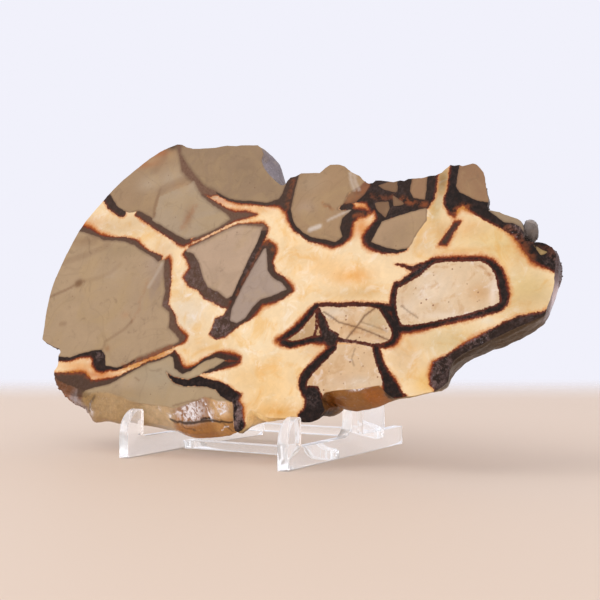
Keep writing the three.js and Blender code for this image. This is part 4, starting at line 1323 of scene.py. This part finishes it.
def clear_plastic(settings):
    """Clear moulded plastic: see-through walls with a faint painted glow from emission, rounded edges painted whiter
    as a highlight, faintly uneven as moulded.
    """
    f = Finish("clear_plastic")
    edge, _, _ = f.parts(f.attribute("edge"))
    ripple = f.noise(6, 2, 0.5) + f.noise(1.2, 2, 0.5) * 0.15
    scuff = f.step(f.noise(1.6, 5, 0.7), 0.5, 0.75)
    haze = f.noise(7, 3, 0.6, warp=0.6)
    normal = f.bump(ripple, 0.25, 0.15)
    # Both shaders glow faintly through emission: painted light that brightens the plastic.
    clear = f.principled(
        Base_Color=settings.plastic[:], Roughness=0.03 + scuff * 0.08, IOR=settings.ior, Transmission_Weight=1.0,
        Normal=normal, Emission_Color=settings.plastic[:], Emission_Strength=0.08,
    )
    milky = f.principled(
        Base_Color=settings.plastic[:], Roughness=0.3, Normal=normal, Emission_Color=settings.plastic[:],
        Emission_Strength=0.25,
    )
    # The rounded edges are painted whiter as a highlight; the haze is the walls' own milkiness.
    haze_and_painted_edge_light = settings.haze * (0.6 + haze * 0.8) + edge * 0.75 + scuff * 0.06
    return f.finish(f.node("ShaderNodeMixShader", {}, {0: haze_and_painted_edge_light.least(1.0), 1: clear, 2: milky}))


def plain_floor(tint, fade_from, fade_to):
    """A matt pale floor that fades out at its far edge. The fade is measured along the floor's own Y."""
    f = Finish("floor")
    _, along, _ = f.parts(f.place)
    shader = f.principled(
        Base_Color=tint, Roughness=0.6, Specular_IOR_Level=0.2, Alpha=1 - f.step(along, fade_from, fade_to),
    )
    return f.finish(shader)


# ---- stage -------------------------------------------------------------------------------------------------
EYE = (142.6, 199.3, 33.68)  # the camera, in mm: right of the easel's middle, in front of its hooks, and up
EYE_TURN, EYE_TILT = math.radians(29.89), math.radians(91.42)
SENSOR, FOCAL_LENGTH = 36, 60.42
FLOOR_SIZE = 4
LIT_POINT = (0, 0, 0.04)
# The lights: (name, place, diameter, power as a share of the key light's).
LIGHTS = (
    ("key", (-0.35, -0.55, 0.75), 0.7, 1.0),
    ("front", (0.55, -0.75, 0.35), 0.6, 0.35),
)


# ---- settings ----------------------------------------------------------------------------------------------
class SlabSettings(bpy.types.PropertyGroup):
    face_spacing: FloatProperty(
        name="Face spacing", description="Distance between points on the polished face",
        default=0.5 * MM, min=0.3 * MM, unit="LENGTH",
    )
    wall_spacing: FloatProperty(
        name="Rind spacing", description="Longest edge on the broken rind",
        default=0.8 * MM, min=0.4 * MM, unit="LENGTH",
    )
    back_spacing: FloatProperty(
        name="Back spacing", description="Distance between points on the sawn back",
        default=1.0 * MM, min=0.4 * MM, unit="LENGTH",
    )
    roughness: FloatProperty(
        name="Rind relief", description="How strongly the rind stands out and dips, 1 as found",
        default=1.0, min=0, max=1.5, subtype="FACTOR",
    )
    fringe: FloatProperty(
        name="Fringe", description="How far the seams' needles reach into the calcite, 1 as found",
        default=0.6, min=0, max=2, subtype="FACTOR",
    )


class GrainSettings(bpy.types.PropertyGroup):
    density: FloatProperty(
        name="Density", description="Grains on each square metre of the roughest rind", default=520000.0, min=0,
    )
    smallest: FloatProperty(
        name="Smallest grain", description="Least radius of a grain", default=0.1 * MM, min=0.02 * MM, unit="LENGTH",
    )
    largest: FloatProperty(
        name="Largest grain", description="Greatest radius of a grain", default=0.27 * MM, min=0.05 * MM,
        unit="LENGTH",
    )
    seed: IntProperty(name="Seed", description="Another number sows the grains in other places", default=3, min=0)


class EaselSettings(bpy.types.PropertyGroup):
    edge: FloatProperty(
        name="Edge rounding", description="Width of the rounded edges of the mouldings",
        default=0.28 * MM, min=0, max=0.5 * MM, unit="LENGTH",
    )
    plastic: FloatVectorProperty(
        name="Plastic", description="Colour of the clear plastic", subtype="COLOR", size=3,
        default=(0.97, 0.97, 0.98), min=0, max=1,
    )
    ior: FloatProperty(name="IOR", description="Index of refraction of the plastic", default=1.22, min=1, max=1.6)
    haze: FloatProperty(
        name="Haze", description="How milky the walls of the mouldings are", default=0.12, min=0, max=1,
        subtype="FACTOR",
    )


class StageSettings(bpy.types.PropertyGroup):
    floor: FloatVectorProperty(
        name="Floor", description="Colour of the floor", subtype="COLOR", size=3,
        default=colour("#e4ceb8"), min=0, max=1,
    )
    floor_edge: FloatVectorProperty(
        name="Floor's far edge", description="Where the floor starts and ends fading, from below the camera",
        subtype="XYZ", size=2, default=(0.44, 0.64), min=0, unit="LENGTH",
    )
    backdrop: FloatVectorProperty(
        name="Backdrop", description="Colour of the light that fills the studio", subtype="COLOR", size=3,
        default=colour("#f1f1fb"), min=0, max=1,
    )
    key: FloatProperty(
        name="Key light", description="Power of the large soft light", default=2.0, min=0, unit="POWER",
    )


# ---- pieces ------------------------------------------------------------------------------------------------
def piece(name, mesh, material, node):
    """An object at the origin in one finish. It stands for a CAD node, where one is named."""
    mesh.materials.clear()
    mesh.materials.append(material)
    made = bpy.data.objects.new(name, mesh)
    bpy.context.collection.objects.link(made)
    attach(made, "root")
    if node:
        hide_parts(node)
    return made


def rounded_copy(node, width):
    """A CAD node's shape with its flat faces joined and its edges rounded."""
    bm = bmesh.new()
    bm.from_mesh(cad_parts[node].data)
    edge = bm.faces.layers.float_vector.new("edge")
    bmesh.ops.remove_doubles(bm, verts=bm.verts, dist=SAME)
    bmesh.ops.dissolve_limit(bm, angle_limit=math.radians(1), verts=bm.verts, edges=bm.edges)
    sharp = [e for e in bm.edges if e.is_manifold and e.calc_face_angle() > math.radians(30)]
    rounded = bmesh.ops.bevel(
        bm, geom=sharp, offset=width, offset_type="OFFSET", segments=2, profile=0.5, affect="EDGES",
        clamp_overlap=True,
    )
    for face in rounded["faces"]:
        face[edge] = Vector((1, 0, 0))
    bmesh.ops.triangulate(bm, faces=bm.faces)
    mesh = bpy.data.meshes.new(node)
    bm.to_mesh(mesh)
    bm.free()
    mesh.shade_smooth()
    mesh.set_sharp_from_angle(angle=math.radians(28))
    return mesh


class SEPTARIAN_OT_slab(bpy.types.Operator):
    """Make the slab, with its polished face, sawn back and broken rind"""

    bl_idname = "septarian.slab"
    bl_label = "Slab"

    def execute(self, context):
        settings = context.scene.septarian_slab
        mesh = slab_mesh(settings)
        mesh.shade_smooth()
        mesh.set_sharp_from_angle(angle=math.radians(40))
        piece("septarian_slab", mesh, septarian_stone(settings), "slab")
        return {"FINISHED"}


class SEPTARIAN_OT_grains(bpy.types.Operator):
    """Sow small angular grains over the roughest parts of the slab's rind"""

    bl_idname = "septarian.grains"
    bl_label = "Rind grains"

    def execute(self, context):
        slab = bpy.data.objects["septarian_slab"]
        material = slab.data.materials[0]
        mesh = grain_mesh(slab, context.scene.septarian_grains, material)
        piece("rind_grains", mesh, material, None)
        return {"FINISHED"}


class SEPTARIAN_OT_easel(bpy.types.Operator):
    """Make the easel's two side frames and two bars"""

    bl_idname = "septarian.easel"
    bl_label = "Easel"

    def execute(self, context):
        settings = context.scene.septarian_easel
        material = clear_plastic(settings)
        for node in EASEL_NODES:
            mesh = rounded_copy(node, settings.edge)
            piece("clear_" + node, mesh, material, node)
        return {"FINISHED"}


class SEPTARIAN_OT_stage(bpy.types.Operator):
    """Make the floor, the lights and the camera"""

    bl_idname = "septarian.stage"
    bl_label = "Stage"

    def execute(self, context):
        settings = context.scene.septarian_stage
        scene = context.scene
        middle, _ = slab_frame()
        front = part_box(SIDE_FRAMES[0])[0].y
        eye = Vector(((middle + EYE[0]) * MM, front - EYE[1] * MM, EYE[2] * MM))

        bpy.ops.mesh.primitive_plane_add(size=FLOOR_SIZE, location=(eye.x, eye.y, 0), rotation=(0, 0, EYE_TURN))
        floor = context.object
        floor.name = "floor"
        floor.data.materials.append(plain_floor(settings.floor[:], *settings.floor_edge))

        world = bpy.data.worlds.new("studio")
        scene.world = world
        world.use_nodes = True
        sky = world.node_tree.nodes["Background"]
        sky.inputs["Color"].default_value = (*settings.backdrop, 1)
        sky.inputs["Strength"].default_value = 1.0

        for name, place, size, share in LIGHTS:
            light = bpy.data.lights.new(name, "AREA")
            light.shape, light.size, light.energy = "DISK", size, settings.key * share
            lamp = bpy.data.objects.new(name, light)
            context.collection.objects.link(lamp)
            lamp.location = place
            lamp.rotation_euler = (Vector(LIT_POINT) - Vector(place)).to_track_quat("-Z", "Y").to_euler()

        camera = bpy.data.cameras.new("camera")
        camera.sensor_width, camera.lens = SENSOR, FOCAL_LENGTH
        camera.clip_start = 0.01
        shot = bpy.data.objects.new("camera", camera)
        context.collection.objects.link(shot)
        shot.location = eye
        shot.rotation_euler = Euler((EYE_TILT, 0, EYE_TURN))
        scene.camera = shot
        scene.view_settings.view_transform = "Standard"
        return {"FINISHED"}


class SEPTARIAN_PT_panel(bpy.types.Panel):
    """Lists the pieces with their settings"""

    bl_label = "Septarian slab"
    bl_space_type = "VIEW_3D"
    bl_region_type = "UI"
    bl_category = "Septarian"

    def draw(self, context):
        for operator, group in (
            (SEPTARIAN_OT_slab, "septarian_slab"),
            (SEPTARIAN_OT_grains, "septarian_grains"),
            (SEPTARIAN_OT_easel, "septarian_easel"),
            (SEPTARIAN_OT_stage, "septarian_stage"),
        ):
            box = self.layout.box()
            settings = getattr(context.scene, group)
            for name in settings.__annotations__:
                box.prop(settings, name)
            box.operator(operator.bl_idname)


GROUPS = (
    ("septarian_slab", SlabSettings),
    ("septarian_grains", GrainSettings),
    ("septarian_easel", EaselSettings),
    ("septarian_stage", StageSettings),
)
OPERATORS = (SEPTARIAN_OT_slab, SEPTARIAN_OT_grains, SEPTARIAN_OT_easel, SEPTARIAN_OT_stage)


def register():
    for name, group in GROUPS:
        bpy.utils.register_class(group)
        setattr(bpy.types.Scene, name, PointerProperty(type=group))
    for cls in (*OPERATORS, SEPTARIAN_PT_panel):
        bpy.utils.register_class(cls)


def unregister():
    for cls in reversed((*OPERATORS, SEPTARIAN_PT_panel)):
        bpy.utils.unregister_class(cls)
    for name, group in reversed(GROUPS):
        delattr(bpy.types.Scene, name)
        bpy.utils.unregister_class(group)


def main():
    register()
    bpy.ops.septarian.slab()
    bpy.ops.septarian.grains()
    bpy.ops.septarian.easel()
    bpy.ops.septarian.stage()


if __name__ == "__main__":
    main()
